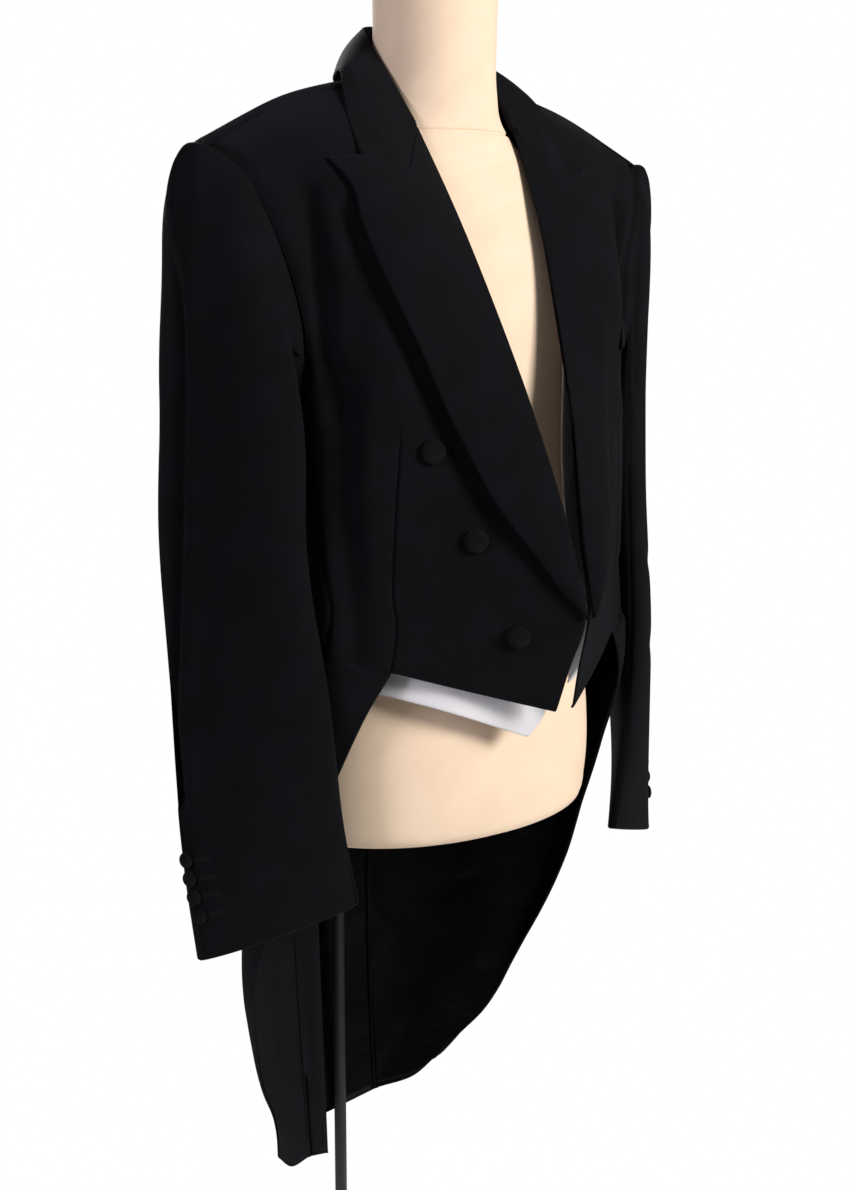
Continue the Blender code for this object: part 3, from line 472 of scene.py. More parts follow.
# Top sleeve from cuff (v 0) to the armhole, u from front seam to back seam
def topSleeve(u, v):
    f = min(v / capSplit, 1.0)
    z = cuffZ * (1 - f) + armholeZ * f
    first, last = sleeveTurns(z)
    start = sleeveRing(first * (1 - u) + last * u, z)
    if v <= capSplit:
        return start
    f = (v - capSplit) / (1 - capSplit)
    crown = math.sin(math.pi * u)
    end = armholeOver(u) + np.array((seam * 2, 0.0, 0.0))
    rise = start + np.array((0.0, 0.0, cap["rise"] * (0.65 + 0.35 * crown)))
    reach = end + np.array((cap["reach"] * (0.5 + 0.5 * crown), 0.0, -cap["drop"] * crown))
    return ((1 - f)**3 * start + 3 * (1 - f)**2 * f * rise
            + 3 * (1 - f) * f**2 * reach + f**3 * end)


# Lower part of the armhole from the back notch round to the front notch
def armholeUnder(t):
    start = seamsAt(armholeZ)["sideSeam"]
    end = seamsAt(armholeZ)["backSeam"]
    backHalf = [tuple(body(end, armholeZ))] + list(armholeBack)
    frontHalf = [tuple(body(start, armholeZ))] + list(armholeFront)
    if t < 0.2:
        return along(backHalf, armholeNotch * (1 - t / 0.2))
    if t > 0.8:
        return along(frontHalf, armholeNotch * (t - 0.8) / 0.2)
    f = (t - 0.2) / 0.6
    return body(end * (1 - f) + start * f, armholeZ)


# Under sleeve from cuff to underarm, u from back seam round to front seam
def underSleeve(u, v):
    low = armholeZ - underDrop
    f = min(v / underSplit, 1.0)
    z = cuffZ * (1 - f) + low * f
    first, last = sleeveTurns(z)
    if v <= underSplit:
        return sleeveRing(last * (1 - u) + (first + 360.0) * u, z)
    startV = capSplit * (low - cuffZ) / (armholeZ - cuffZ)

    def edge(side):
        return lambda f: topSleeve(side, startV * (1 - f) + f)

    return coons(lambda t: sleeveRing(last * (1 - t) + (first + 360.0) * t, low),
                 lambda t: armholeUnder(t) + np.array((seam * 2, 0.0, 0.0)),
                 edge(1.0), edge(0.0), u, (v - underSplit) / (1 - underSplit))


# Point of a panel with the fuller places of its side
def hung(side, point):
    shift = np.zeros(3)
    for centre, reach, way in hang[side]:
        away = np.linalg.norm(point - np.array(centre)) / reach
        shift += math.exp(-away**2) * np.array(way)
    return point + shift


# The u and v at which the front panel passes through x and z
def frontShare(x, z):
    u, v, step = 0.5, 0.5, 0.002
    for _ in range(7):
        here = frontSurface(u, v)
        du = (frontSurface(u + step, v) - here) / step
        dv = (frontSurface(u, v + step) - here) / step
        miss = np.array((x - here[0], z - here[2]))
        slopes = np.array(((du[0], dv[0]), (du[2], dv[2])))
        change = np.linalg.solve(slopes, miss)
        u = min(max(u + change[0], 0.0), 1.0 - step)
        v = min(max(v + change[1], 0.0), 1.0 - step)
    return u, v


# Unit normal of a left-side surface, pointing away from the body
def outside(surface, u, v):
    step = 0.004
    du = surface(min(u + step, 1), v) - surface(max(u - step, 0), v)
    dv = surface(u, min(v + step, 1)) - surface(u, max(v - step, 0))
    normal = np.cross(du, dv)
    return normal / np.linalg.norm(normal)


# Point a given height above the front panel near x and z, and the normal there
def onFront(x, z, lift):
    u, v = frontShare(x, z)
    normal = outside(frontSurface, u, v)
    return frontSurface(u, v) + normal * lift, normal


# Lapel from the break (v 0) up to the gorge (v 1), u from roll line to outer edge
def lapelSurface(side, u, v):
    roll = along(lapelRoll[::-1], v)
    outerX, outerZ = along(lapelEdge, v)
    topX, topZ = alongCorners(lapelTop, u)
    bend = max(0.0, (v - lapelShape["bendFrom"]) / (1 - lapelShape["bendFrom"]))
    x = roll[0] * (1 - u) + outerX * u + bend * (topX - lapelTop[0][0] * (1 - u) - lapelTop[-1][0] * u)
    z = roll[2] * (1 - u) + outerZ * u + bend * (topZ - lapelTop[0][1] * (1 - u) - lapelTop[-1][1] * u)
    lift = lapelShape["lift"] + lapelShape["crown"] * math.sin(math.pi * min(1.0, u * 0.9 + 0.05))
    steps = np.linspace(0.0, 1.0, len(lapelBelly[side]))
    lift += spline(steps, np.array(lapelBelly[side]), v) * math.sin(math.pi * u * lapelShape["bellyReach"])
    laid, normal = onFront(x, z, lapelShape["lift"])
    laid[0], laid[2] = x, z
    laid += normal * (lift - lapelShape["lift"])
    hold = (1 - u)**3
    return laid * (1 - hold) + roll * hold


# Half of the collar: u from centre back to front end, v from foot over the roll to the edge
def collarSurface(u, v):
    roll = along(collarRoll, u)
    if v < collarShape["split"]:
        f = v / collarShape["split"]
        foot = along(collarFoot, u)
        point = foot * (1 - f) + roll * f
        return point
    w = (v - collarShape["split"]) / (1 - collarShape["split"])
    edge = along(collarEdge, u)
    point = roll * (1 - w) + edge * w
    bend = max(0.0, (u - collarShape["bendFrom"]) / (1 - collarShape["bendFrom"]))
    end = alongCorners((collarRoll[-1], gorgeEnd, collarEdge[-1]), w)
    point = point + bend * (end - np.array(collarRoll[-1]) * (1 - w) - np.array(collarEdge[-1]) * w)
    crown = collarShape["crown"] * math.sin(math.pi * w) * (1 - bend)
    return point + np.array((crown * math.sin(u * math.pi / 2), crown * math.cos(u * math.pi / 2), crown))


def weltSurface(u, v):
    x = welt["inner"][0] * (1 - u) + welt["outer"][0] * u
    z = welt["inner"][1] * (1 - u) + welt["outer"][1] * u + welt["height"] * v
    return onFront(x, z, weltLift)[0]


# Waistcoat front from hem to shoulder, u from its opening edge to its side
def vestFront(side, u, v):
    edge = vestEdge[side]
    hem = (edge[0], vestHemMid[side], vestSide[0])
    point = coons(lambda t: along(hem, t),
                  lambda t: np.array(edge[-1]) * (1 - t) + np.array(vestSide[-1]) * t,
                  lambda t: along(edge, t), lambda t: along(vestSide, t), u, v)
    point[1] -= vestShape["fullness"] * math.sin(math.pi * u) * v
    return clearOfForm(point)


# Point moved level outwards until it stands vestShape["frontGap"] off the form
def clearOfForm(point):
    halfWidth, halfDepth, middle = formSize(point[2])
    away = math.hypot(point[0] / (halfWidth + vestShape["frontGap"]),
                      (point[1] - middle) / (halfDepth + vestShape["frontGap"]))
    if away >= 1:
        return point
    return np.array((point[0] / away, middle + (point[1] - middle) / away, point[2]))


# Half of the waistcoat back, laid over the form from side to centre
def vestBack(u, v):
    turn = math.radians(vestShape["backTurns"][0] * (1 - u) + vestShape["backTurns"][1] * u)
    rise = min(1.0, u * vestShape["backRise"])
    top = vestShape["backTop"][0] * (1 - rise) + vestShape["backTop"][1] * rise
    z = vestShape["backHem"] * (1 - v) + top * v
    halfWidth, halfDepth, middle = formSize(z)
    return np.array(((halfWidth + vestShape["gap"]) * math.cos(turn) * (u < 1),
                     middle + (halfDepth + vestShape["gap"]) * math.sin(turn), z))


# Net with its fuller places, each a centre, a reach and a way
def hungNet(places, net):
    shifts = np.zeros(net.shape)
    for centre, reach, way in places:
        away = np.linalg.norm(net - np.array(centre), axis=-1) / reach
        shifts += np.exp(-away**2)[..., None] * np.array(way)
    return net + shifts


# Steps across and up of each net
netSteps = {"front": (18, 30), "side": (6, 10), "back": (8, 44), "skirt": (12, 18), "tailLining": (6, 24),
            "topSleeve": (16, 30), "underSleeve": (12, 22), "collar": (20, 18), "lapel": (12, 30),
            "welt": (6, 4), "vestFront": (12, 24), "vestBack": (10, 16)}


# Coarse net of points over a surface, in the steps of its name
def sampled(name, surface):
    across, up = netSteps[name]
    return np.array([[surface(i / across, j / up) for j in range(up + 1)] for i in range(across + 1)])


# Net read at new places, from 0 to 1, along its first axis
def resampled(net, places):
    last = len(net) - 1
    slopes = np.gradient(net, axis=0)
    at = np.asarray(places) * last
    low = np.minimum(at.astype(int), last - 1)
    f = (at - low).reshape((-1,) + (1,) * (net.ndim - 1))
    return ((2 * f**3 - 3 * f**2 + 1) * net[low] + (f**3 - 2 * f**2 + f) * slopes[low]
            + (3 * f**2 - 2 * f**3) * net[low + 1] + (f**3 - f**2) * slopes[low + 1])


# Net with its two directions swapped
def flipped(net):
    return net.transpose(1, 0, 2)


# Length run along each row of a net, from its start
def runs(net):
    steps = np.linalg.norm(np.diff(net, axis=0), axis=-1)
    return np.concatenate((np.zeros((1,) + steps.shape[1:]), np.cumsum(steps, axis=0)))


# Lines beside the edges of a net, how far past the last of them the even lines start, and
# lines beside a line sewn across it
edgeSteps = (0.0005, 0.0012, 0.0022, 0.0040)
edgeClear = 1.3
lineSteps = (-0.0030, -0.0016, -0.0008, 0.0, 0.0008, 0.0016, 0.0030)


# Places of the lines of a net, even and then closer together beside the ends asked for
def places(length, spacing, ends):
    count = max(3, round(length / (spacing / fine)))
    near = np.array(edgeSteps) / length
    extra = [near] * ends[0] + [1 - near] * ends[1]
    even = np.linspace(0, 1, count + 1)
    clear = near[-1] * edgeClear
    keep = [t for t in even if t in (0.0, 1.0)
            or not (ends[0] and t < clear) and not (ends[1] and t > 1 - clear)]
    return np.sort(np.concatenate([keep] + extra))


def outward(net):
    normals = np.cross(np.gradient(net, axis=0), np.gradient(net, axis=1))
    return normals / np.linalg.norm(normals, axis=-1)[..., None]


# Distance of every point from the straight runs of a path
def distanceTo(points, path):
    path = np.asarray(path, float)
    best = np.full(points.shape[:-1], 1e9)
    for a, b in zip(path, path[1:]):
        along = b - a
        f = np.clip(((points - a) @ along) / (along @ along), 0, 1)
        best = np.minimum(best, np.linalg.norm(points - (a + f[..., None] * along), axis=-1))
    return best


edgeNames = ("start", "end", "bottom", "top")
# Waist dart: depth, reach, share of the front at which it fades out, and its run as x and z
dartLine = {"depth": 0.0018, "reach": 0.0011, "top": 0.50, "fade": 0.05,
            "run": ((0.1214, -0.398), (0.1219, -0.342), (0.1202, -0.264), (0.1180, -0.205))}


# Fold pressed into a panel along a path, or raised where its depth is below zero
def crease(width, depth, *path):
    return {"width": width, "depth": depth, "path": path}


# Fine net of a panel: closer lines at its edges, seams drawn in, edges rolled, folds pressed in
def finished(net, seams=(), edges=(), folds=(), spacing=0.006, deep=(), lines=()):
    width = runs(net)[-1].max()
    height = runs(flipped(net))[-1].max()
    marked = [name in seams or name in edges for name in edgeNames]
    columns = [places(width, spacing, marked[:2])]
    columns += [at + np.array(lineSteps) / width for at in lines]
    columns = np.unique(np.concatenate(columns))
    rows = places(height, spacing, marked[2:])
    net = flipped(resampled(flipped(resampled(net, columns)), rows))
    across = runs(net)
    up = runs(flipped(net)).T
    away = {"start": across, "end": across[-1] - across, "bottom": up, "top": up[:, -1:] - up}
    drop = np.zeros(net.shape[:2])
    for name in edgeNames:
        if name in seams:
            depth, reach = seamLook["deep" if name in deep else "plain"]
            drop += depth * np.exp(-(away[name] / reach)**2)
        if name in edges:
            depth, reach = seamLook["rolled"]
            drop += depth * np.clip(1 - away[name] / reach, 0, 1)**2
    for at in lines:
        side = across - across[np.abs(columns - at).argmin()]
        fade = np.clip((dartLine["top"] - rows) / dartLine["fade"], 0, 1)
        drop += dartLine["depth"] * np.exp(-(side / dartLine["reach"])**2) * fade
    for fold in folds:
        near = distanceTo(net, fold["path"]) / fold["width"]
        drop += fold["depth"] * np.exp(-near**2)
    return net - outward(net) * drop[..., None]


# Depth and reach of a plain seam, of a deep one and of a rolled edge
seamLook = {"plain": (0.0010, 0.0016), "deep": (0.0030, 0.0045), "rolled": (0.0010, 0.0018)}


# Net with seam allowances past the edges named, turned in under the next panel
def turnedIn(net, names, drop):
    for name in names:
        across = name in ("start", "end")
        normals = outward(net)
        if not across:
            net = flipped(net)
            normals = flipped(normals)
        last = name in ("end", "top")
        edge, inner, up = (net[-1], net[-3], normals[-1]) if last else (net[0], net[2], normals[0])
        way = edge - inner
        row = edge + way / np.linalg.norm(way, axis=-1)[:, None] * turnIn["width"] - up * drop
        net = np.concatenate((net, row[None]) if last else (row[None], net))
        if not across:
            net = flipped(net)
    return net


# Seam allowances: width, and how far they dip under the next panel, here and at the shoulders
turnIn = {"width": 0.0050, "drop": 0.0026, "backDrop": 0.0065}


# Width, length and area of a panel laid flat
def flatSize(net):
    sides = np.cross(net[1:, 1:] - net[:-1, :-1], net[1:, :-1] - net[:-1, 1:])
    area = np.linalg.norm(sides, axis=-1).sum() / 2
    return runs(net)[-1].max(), runs(flipped(net))[-1].max(), area


# Smooth mesh through a net, with its lengths across and up as UVs in metres
def meshOf(name, net, side, look):
    sign = -1.0 if side == "right" else 1.0
    across, up = net.shape[:2]
    points = net * (sign, 1, 1) + (0, 0, shoulderZ)
    index = np.arange(across * up).reshape(across, up)
    quads = np.stack((index[:-1, :-1], index[1:, :-1], index[1:, 1:], index[:-1, 1:]), -1).reshape(-1, 4)
    if sign < 0:
        quads = quads[:, ::-1]
    mesh = bpy.data.meshes.new(name)
    mesh.from_pydata(points.reshape(-1, 3).tolist(), [], quads.tolist())
    lengths = np.stack((runs(net), runs(flipped(net)).T), -1).reshape(-1, 2)
    layer = mesh.uv_layers.new(name="cloth")
    corners = np.zeros(len(mesh.loops), int)
    mesh.loops.foreach_get("vertex_index", corners)
    layer.data.foreach_set("uv", lengths[corners].astype(np.float32).ravel())
    mesh.shade_smooth()
    mesh.materials.append(look)
    made = bpy.data.objects.new(name, mesh)
    scene.collection.objects.link(made)
    return made


# Name of the piece that stands for a CAD node, as skirtLeft for skirt_left
def pieceName(nodeName):
    first, *others = nodeName.split("_")
    return first + "".join(word.title() for word in others)


# Panel of cloth over its solid, with its wall on the inner side
def clothPanel(nodeName, net, side, look, wall=0.0017,
               seams=(), edges=(), folds=(), spacing=0.006, inner=None, deep=(), under=(), lines=(),
               drop=turnIn["drop"], name=None):
    net = hungNet(hang[side], net)
    net = turnedIn(finished(net, seams, edges, folds, spacing, deep, lines), under, drop)
    made = meshOf(name or pieceName(nodeName), net, side, look)
    shell = made.modifiers.new("Wall", "SOLIDIFY")
    shell.thickness = wall
    shell.offset = -1.0
    if inner is not None:
        made.data.materials.append(inner)
        shell.material_offset = 1
        shell.material_offset_rim = 0
    width, length, area = flatSize(net)
    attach(made, "root")
    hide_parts(nodeName)
    return made


def newMaterial(name, values):
    made = bpy.data.materials.new(name)
    made.use_nodes = True
    shader = made.node_tree.nodes["Principled BSDF"]
    for socket, value in values.items():
        shader.inputs[socket].default_value = value
    return made, made.node_tree, shader


def link(tree, source, target):
    tree.links.new(source, target)


def node(tree, kind, **values):
    made = tree.nodes.new(kind)
    for key, value in values.items():
        if key in made.inputs:
            made.inputs[key].default_value = value
        else:
            setattr(made, key, value)
    return made


# Value that runs from the low to the high number of end while source does so in start
def mapped(tree, source, start, end):
    limits = {"From Min": start[0], "From Max": start[1], "To Min": end[0], "To Max": end[1]}
    made = node(tree, "ShaderNodeMapRange", **limits)
    link(tree, source, made.inputs["Value"])
    return made.outputs["Result"]


# Weave: its turn on the cloth, and the sizes and share of the fuzz and of the broad change of tone
weaveLook = {"turn": 58, "fuzz": 1400.0, "cloud": 28.0, "fuzzTone": 0.5}


# Shared cloth surface: a slight change of tone and the height of the weave, from UVs in metres
def weaveGroup():
    group = bpy.data.node_groups.new("clothWeave", "ShaderNodeTree")
    for name, way in (("Pitch", "INPUT"), ("Weft", "INPUT"), ("Height", "OUTPUT"), ("Tone", "OUTPUT")):
        group.interface.new_socket(name, in_out=way, socket_type="NodeSocketFloat")
    enter = group.nodes.new("NodeGroupInput")
    leave = group.nodes.new("NodeGroupOutput")
    uv = node(group, "ShaderNodeUVMap", uv_map="cloth")
    turned = node(group, "ShaderNodeMapping", vector_type="POINT")
    turned.inputs["Rotation"].default_value = (0, 0, math.radians(weaveLook["turn"]))
    link(group, uv.outputs["UV"], turned.inputs["Vector"])
    twill = node(group, "ShaderNodeTexWave", wave_type="BANDS", bands_direction="X")
    link(group, turned.outputs["Vector"], twill.inputs["Vector"])
    link(group, enter.outputs["Pitch"], twill.inputs["Scale"])
    fuzz = node(group, "ShaderNodeTexNoise", Scale=weaveLook["fuzz"], Detail=3.0)
    link(group, uv.outputs["UV"], fuzz.inputs["Vector"])
    cloud = node(group, "ShaderNodeTexNoise", Scale=weaveLook["cloud"], Detail=4.0)
    link(group, uv.outputs["UV"], cloud.inputs["Vector"])
    weft = node(group, "ShaderNodeTexWave", wave_type="BANDS", bands_direction="Y")
    link(group, turned.outputs["Vector"], weft.inputs["Vector"])
    link(group, enter.outputs["Pitch"], weft.inputs["Scale"])
    threads = node(group, "ShaderNodeMath", operation="MULTIPLY_ADD")
    link(group, weft.outputs["Fac"], threads.inputs[0])
    link(group, enter.outputs["Weft"], threads.inputs[1])
    link(group, twill.outputs["Fac"], threads.inputs[2])
    height = node(group, "ShaderNodeMath", operation="ADD")
    link(group, threads.outputs["Value"], height.inputs[0])
    link(group, fuzz.outputs["Fac"], height.inputs[1])
    tone = node(group, "ShaderNodeMath", operation="MULTIPLY_ADD")
    tone.inputs[1].default_value = weaveLook["fuzzTone"]
    link(group, fuzz.outputs["Fac"], tone.inputs[0])
    link(group, cloud.outputs["Fac"], tone.inputs[2])
    link(group, height.outputs["Value"], leave.inputs["Height"])
    link(group, tone.outputs["Value"], leave.inputs["Tone"])
    return group


weave = weaveGroup()


# Soft crumples in a material, as bump under its weave and as changes of gloss
def crumpled(made, size, depth, gloss):
    tree = made.node_tree
    shader = tree.nodes["Principled BSDF"]
    uv = node(tree, "ShaderNodeUVMap", uv_map="cloth")
    waves = node(tree, "ShaderNodeTexNoise", Scale=size, Detail=3.0, Distortion=1.2)
    link(tree, uv.outputs["UV"], waves.inputs["Vector"])
    relief = node(tree, "ShaderNodeBump", Strength=1.0, Distance=depth)
    link(tree, waves.outputs["Fac"], relief.inputs["Height"])
    link(tree, relief.outputs["Normal"], tree.nodes["Bump"].inputs["Normal"])
    link(tree, mapped(tree, waves.outputs["Fac"], (0.35, 0.65), gloss), shader.inputs["Roughness"])


reliefDepth = 0.0004


# Cloth material: two close tones over its surface, its weave as bump, and its own shader values
def fabric(name, dark, light, pitch, weft, bump, values):
    made, tree, shader = newMaterial(name, values)
    cover = node(tree, "ShaderNodeGroup", node_tree=weave)
    cover.inputs["Pitch"].default_value = pitch
    cover.inputs["Weft"].default_value = weft
    mix = node(tree, "ShaderNodeMix", data_type="RGBA")
    mix.inputs[6].default_value = (*dark, 1)
    mix.inputs[7].default_value = (*light, 1)
    link(tree, mapped(tree, cover.outputs["Tone"], (0.5, 1.0), (0.0, 1.0)), mix.inputs[0])
    link(tree, mix.outputs[2], shader.inputs["Base Color"])
    relief = node(tree, "ShaderNodeBump", Strength=bump, Distance=reliefDepth)
    link(tree, cover.outputs["Height"], relief.inputs["Height"])
    link(tree, relief.outputs["Normal"], shader.inputs["Normal"])
    return made


woolValues = {"Roughness": 0.85, "Specular IOR Level": 0.08, "Sheen Weight": 0.015, "Sheen Roughness": 0.45,
              "Sheen Tint": (0.80, 0.76, 1.0, 1)}
satinValues = {"Roughness": 0.42, "Specular IOR Level": 0.06}
cottonValues = {"Roughness": 0.75, "Specular IOR Level": 0.20, "Sheen Weight": 0.08}
wool = fabric("blackWool", (0.0024, 0.0023, 0.0032), (0.0044, 0.0042, 0.0060), 900.0, 0.0, 0.5, woolValues)
satin = fabric("blackSatin", (0.0010, 0.0010, 0.0010), (0.0018, 0.0018, 0.0018), 1500.0, 0.0, 0.08,
               satinValues)
crumpled(satin, size=13.0, depth=0.0035, gloss=(0.26, 0.50))
buttonCloth = fabric("buttonCloth", (0.0030, 0.0028, 0.0032), (0.0110, 0.0105, 0.0125), 520.0, 1.0, 1.0,
                     woolValues)
marcella = fabric("whiteMarcella", (0.88, 0.84, 0.85), (0.96, 0.93, 0.94), 330.0, 1.0, 0.7, cottonValues)
jersey = fabric("creamJersey", (0.87, 0.655, 0.465), (0.93, 0.715, 0.520), 1100.0, 0.6, 0.25, cottonValues)
thread = fabric("blackThread", (0.0050, 0.0048, 0.0056), (0.0120, 0.0115, 0.0135), 2500.0, 0.0, 0.5,
                {"Roughness": 0.6, "Specular IOR Level": 0.15})
steelValues = {"Base Color": (0.02, 0.02, 0.022, 1), "Metallic": 0.5}
steel, steelTree, steelShader = newMaterial("blackSteel", steelValues)
speck = node(steelTree, "ShaderNodeTexNoise", Scale=300.0)
steelGloss = mapped(steelTree, speck.outputs["Fac"], (0.0, 1.0), (0.32, 0.46))
link(steelTree, steelGloss, steelShader.inputs["Roughness"])

bothSides = ("right", "left")

# Fronts and sides
frontFolds = (
    crease(0.008, 0.0075, (0.162, -0.043, -0.035), (0.160, -0.049, -0.070), (0.157, -0.053, -0.136),
           (0.153, -0.062, -0.200)),
    crease(0.008, -0.0024, (0.150, -0.056, -0.050), (0.147, -0.063, -0.095), (0.148, -0.064, -0.150)),
    crease(0.013, 0.0085, (0.1454, -0.0665, -0.188), (0.1497, -0.066, -0.260),
           (0.1472, -0.072, -0.315), (0.1472, -0.076, -0.385)),
    crease(0.009, -0.0014, (0.135, -0.080, -0.190), (0.136, -0.082, -0.260), (0.134, -0.085, -0.330)),
    crease(0.012, 0.0010, (0.060, -0.130, -0.330), (0.110, -0.100, -0.345), (0.150, -0.075, -0.350)),
    crease(0.009, 0.0045, (0.140, -0.055, -0.050), (0.131, -0.075, -0.090), (0.118, -0.093, -0.130),
           (0.100, -0.108, -0.180), (0.078, -0.125, -0.232), (0.055, -0.142, -0.282)),
)
dartRun = [frontShare(x, z) for x, z in dartLine["run"]]
dartMiddle = sum(u for u, v in dartRun) / len(dartRun)


# Point of the front, its shares bent so that the dart keeps to one share of every row
def frontAlongDart(share, v):
    u = np.interp(v, [v for u, v in dartRun], [u for u, v in dartRun])
    bend = share * (1 - share) / (dartMiddle * (1 - dartMiddle))
    return frontSurface(share + (u - dartMiddle) * bend, v)


frontNet = sampled("front", frontAlongDart)
sideNet = sampled("side", sideSurface)
for side in bothSides:
    clothPanel("coat_front_" + side, frontNet, side, wool, seams=("end", "top", "bottom"),
               edges=("start",), folds=frontFolds, deep=("end",), under=("top",), spacing=0.004,
               lines=(dartMiddle,))
    clothPanel("side_body_" + side, sideNet, side, wool, seams=("start", "end", "bottom"), edges=("top",),
               under=("start", "end"))
print("fronts and sides")

# Backs and skirts
for side in bothSides:
    backNet = sampled("back", lambda u, v: backSurface(side, u, v))
    clothPanel("coat_back_" + side, backNet, side, wool, seams=("start", "end", "top"), edges=("bottom",),
               under=("top",), drop=turnIn["backDrop"])
    skirtNet = sampled("skirt", lambda u, v: skirtSurface(side, u, v))
    clothPanel("skirt_" + side, skirtNet, side, wool, seams=("end", "top"), edges=("start", "bottom"),
               inner=satin if side == "left" else wool, under=("end", "top"))
print("backs and skirts")

# Linings, inside the tails, felled along the edges and folded a little at the hems
skirtLiningFolds = (
    crease(0.030, 0.0035, (0.100, 0.140, -0.540), (0.128, 0.108, -0.640), (0.132, 0.098, -0.700),
           (0.120, 0.108, -0.800)),
    crease(0.018, 0.0030, (0.150, 0.080, -0.600), (0.148, 0.083, -0.680), (0.136, 0.094, -0.760)),
    crease(0.003, 0.0012, (0.0515, 0.157, -0.862), (0.0571, 0.151, -0.853), (0.066, 0.146, -0.846)),
)
tailLiningFolds = (
    crease(0.0035, 0.0020, (0.0107, 0.171, -0.782), (0.0175, 0.171, -0.758), (0.0402, 0.168, -0.7375)),
    crease(0.0030, 0.0018, (0.0092, 0.166, -0.8695), (0.0132, 0.166, -0.841), (0.024, 0.166, -0.822)),
)
skirtFolds = {"right": (), "left": skirtLiningFolds}
tailFolds = {"right": (), "left": tailLiningFolds}
# Linings: share of the tail they reach, inset from free edges, lift off the panel, dip at the
# seams, wall, and steps across and up
lining = {"top": 0.44, "inset": 0.0030, "lift": 0.0021, "drop": 0.0004, "wall": 0.0006,
          "skirt": (12, 20), "tail": (8, 26)}


# Net of a lining, short of the hem and of its free edge, off the inner side of its panel
def liningNet(net, panel, free):
    width, length = flatSize(net)[:2]
    inset = lining["inset"] / width
    limits = (inset, 1.0) if free == "start" else (0.0, 1.0 - inset)
    across, up = lining[panel]
    net = resampled(net, np.linspace(*limits, across))
    net = flipped(resampled(flipped(net), np.linspace(lining["inset"] / length, 1.0, up)))
    return net - outward(net) * lining["lift"]


for side in bothSides:
    look = satin if side == "left" else wool
    net = liningNet(sampled("skirt", lambda u, v: skirtSurface(side, u, v)), "skirt", "start")
    clothPanel("skirt_lining_" + side, net, side, look,
               wall=lining["wall"], folds=skirtFolds[side], under=("end",), drop=lining["drop"])
    net = sampled("tailLining", lambda u, v: backSurface(side, u, v * lining["top"]))
    net = liningNet(net, "tail", "end")
    clothPanel("tail_lining_" + side, net, side, look,
               wall=lining["wall"], folds=tailFolds[side], under=("start",), drop=lining["drop"])
print("linings")

# Sleeves
sleeveFolds = (
    crease(0.0050, 0.0062, (0.2330, 0.010, -0.012), (0.2370, 0.010, -0.050), (0.2385, 0.017, -0.114),
           (0.2390, 0.024, -0.227), (0.2455, 0.0235, -0.344), (0.2525, 0.0215, -0.440),
           (0.2545, 0.010, -0.502)),
    crease(0.0090, -0.0036, (0.2310, -0.006, -0.005), (0.2350, -0.006, -0.050),
           (0.2350, 0.004, -0.114), (0.2360, 0.010, -0.227), (0.2425, 0.009, -0.344),
           (0.2490, 0.007, -0.440), (0.2505, -0.005, -0.502)),
    crease(0.010, 0.0018, (0.199, -0.045, -0.135), (0.190, -0.049, -0.202), (0.186, -0.052, -0.260)),
    crease(0.009, 0.0014, (0.188, -0.060, -0.330), (0.200, -0.052, -0.352), (0.212, -0.042, -0.360)),
    crease(0.010, 0.0012, (0.190, -0.064, -0.420), (0.205, -0.054, -0.432), (0.222, -0.040, -0.430)),
)
sideFolds = {
    "right": (),
    "left": (crease(0.007, 0.0030, (0.2010, -0.0320, -0.040), (0.1860, -0.0450, -0.085),
                    (0.1830, -0.0480, -0.130), (0.1840, -0.0510, -0.190)),),
}
underFolds = {
    "right": (crease(0.012, 0.0035, (0.1740, -0.0425, -0.152), (0.1680, -0.0400, -0.164),
                     (0.1630, -0.0360, -0.180)),),
    "left": (),
}
topNet = sampled("topSleeve", topSleeve)
underNet = sampled("underSleeve", underSleeve)
for side in bothSides:
    clothPanel("top_sleeve_" + side, topNet, side, wool,
               seams=("start", "end", "top"), edges=("bottom",), folds=sleeveFolds + sideFolds[side],
               deep=("top",), under=("top",), spacing=0.0035)
    clothPanel("under_sleeve_" + side, underNet, side, wool, seams=("start", "end"), edges=("bottom",),
               folds=underFolds[side], under=("start", "end", "top"))
print("sleeves")

# Collar, lapels and welt
foldedWall = 0.0026
gorge = {"tuck": 0.0060, "drop": 0.0016}
collarNet = sampled("collar", collarSurface)
reach = collarNet[-1] - collarNet[-2]
reach = reach / np.linalg.norm(reach, axis=1)[:, None] * gorge["tuck"]
tucked = collarNet[-1] + reach - outward(collarNet)[-1] * gorge["drop"]
collarNet = np.concatenate((collarNet, tucked[None]))
wholeCollar = np.concatenate((collarNet[:0:-1] * (-1, 1, 1), collarNet))
clothPanel("collar", wholeCollar, "left", wool, wall=foldedWall,
           edges=("top",), spacing=0.004, name="coatCollar")
lapelFolds = {
    "right": (crease(0.012, 0.0010, (0.060, -0.120, -0.200), (0.040, -0.140, -0.260),
                     (0.020, -0.165, -0.310)),),
    "left": (crease(0.006, 0.0012, (0.100, -0.100, -0.110), (0.082, -0.122, -0.190),
                    (0.050, -0.150, -0.270)),
             crease(0.010, -0.0016, (0.075, -0.110, -0.130), (0.060, -0.132, -0.210),
                    (0.036, -0.156, -0.290))),
}
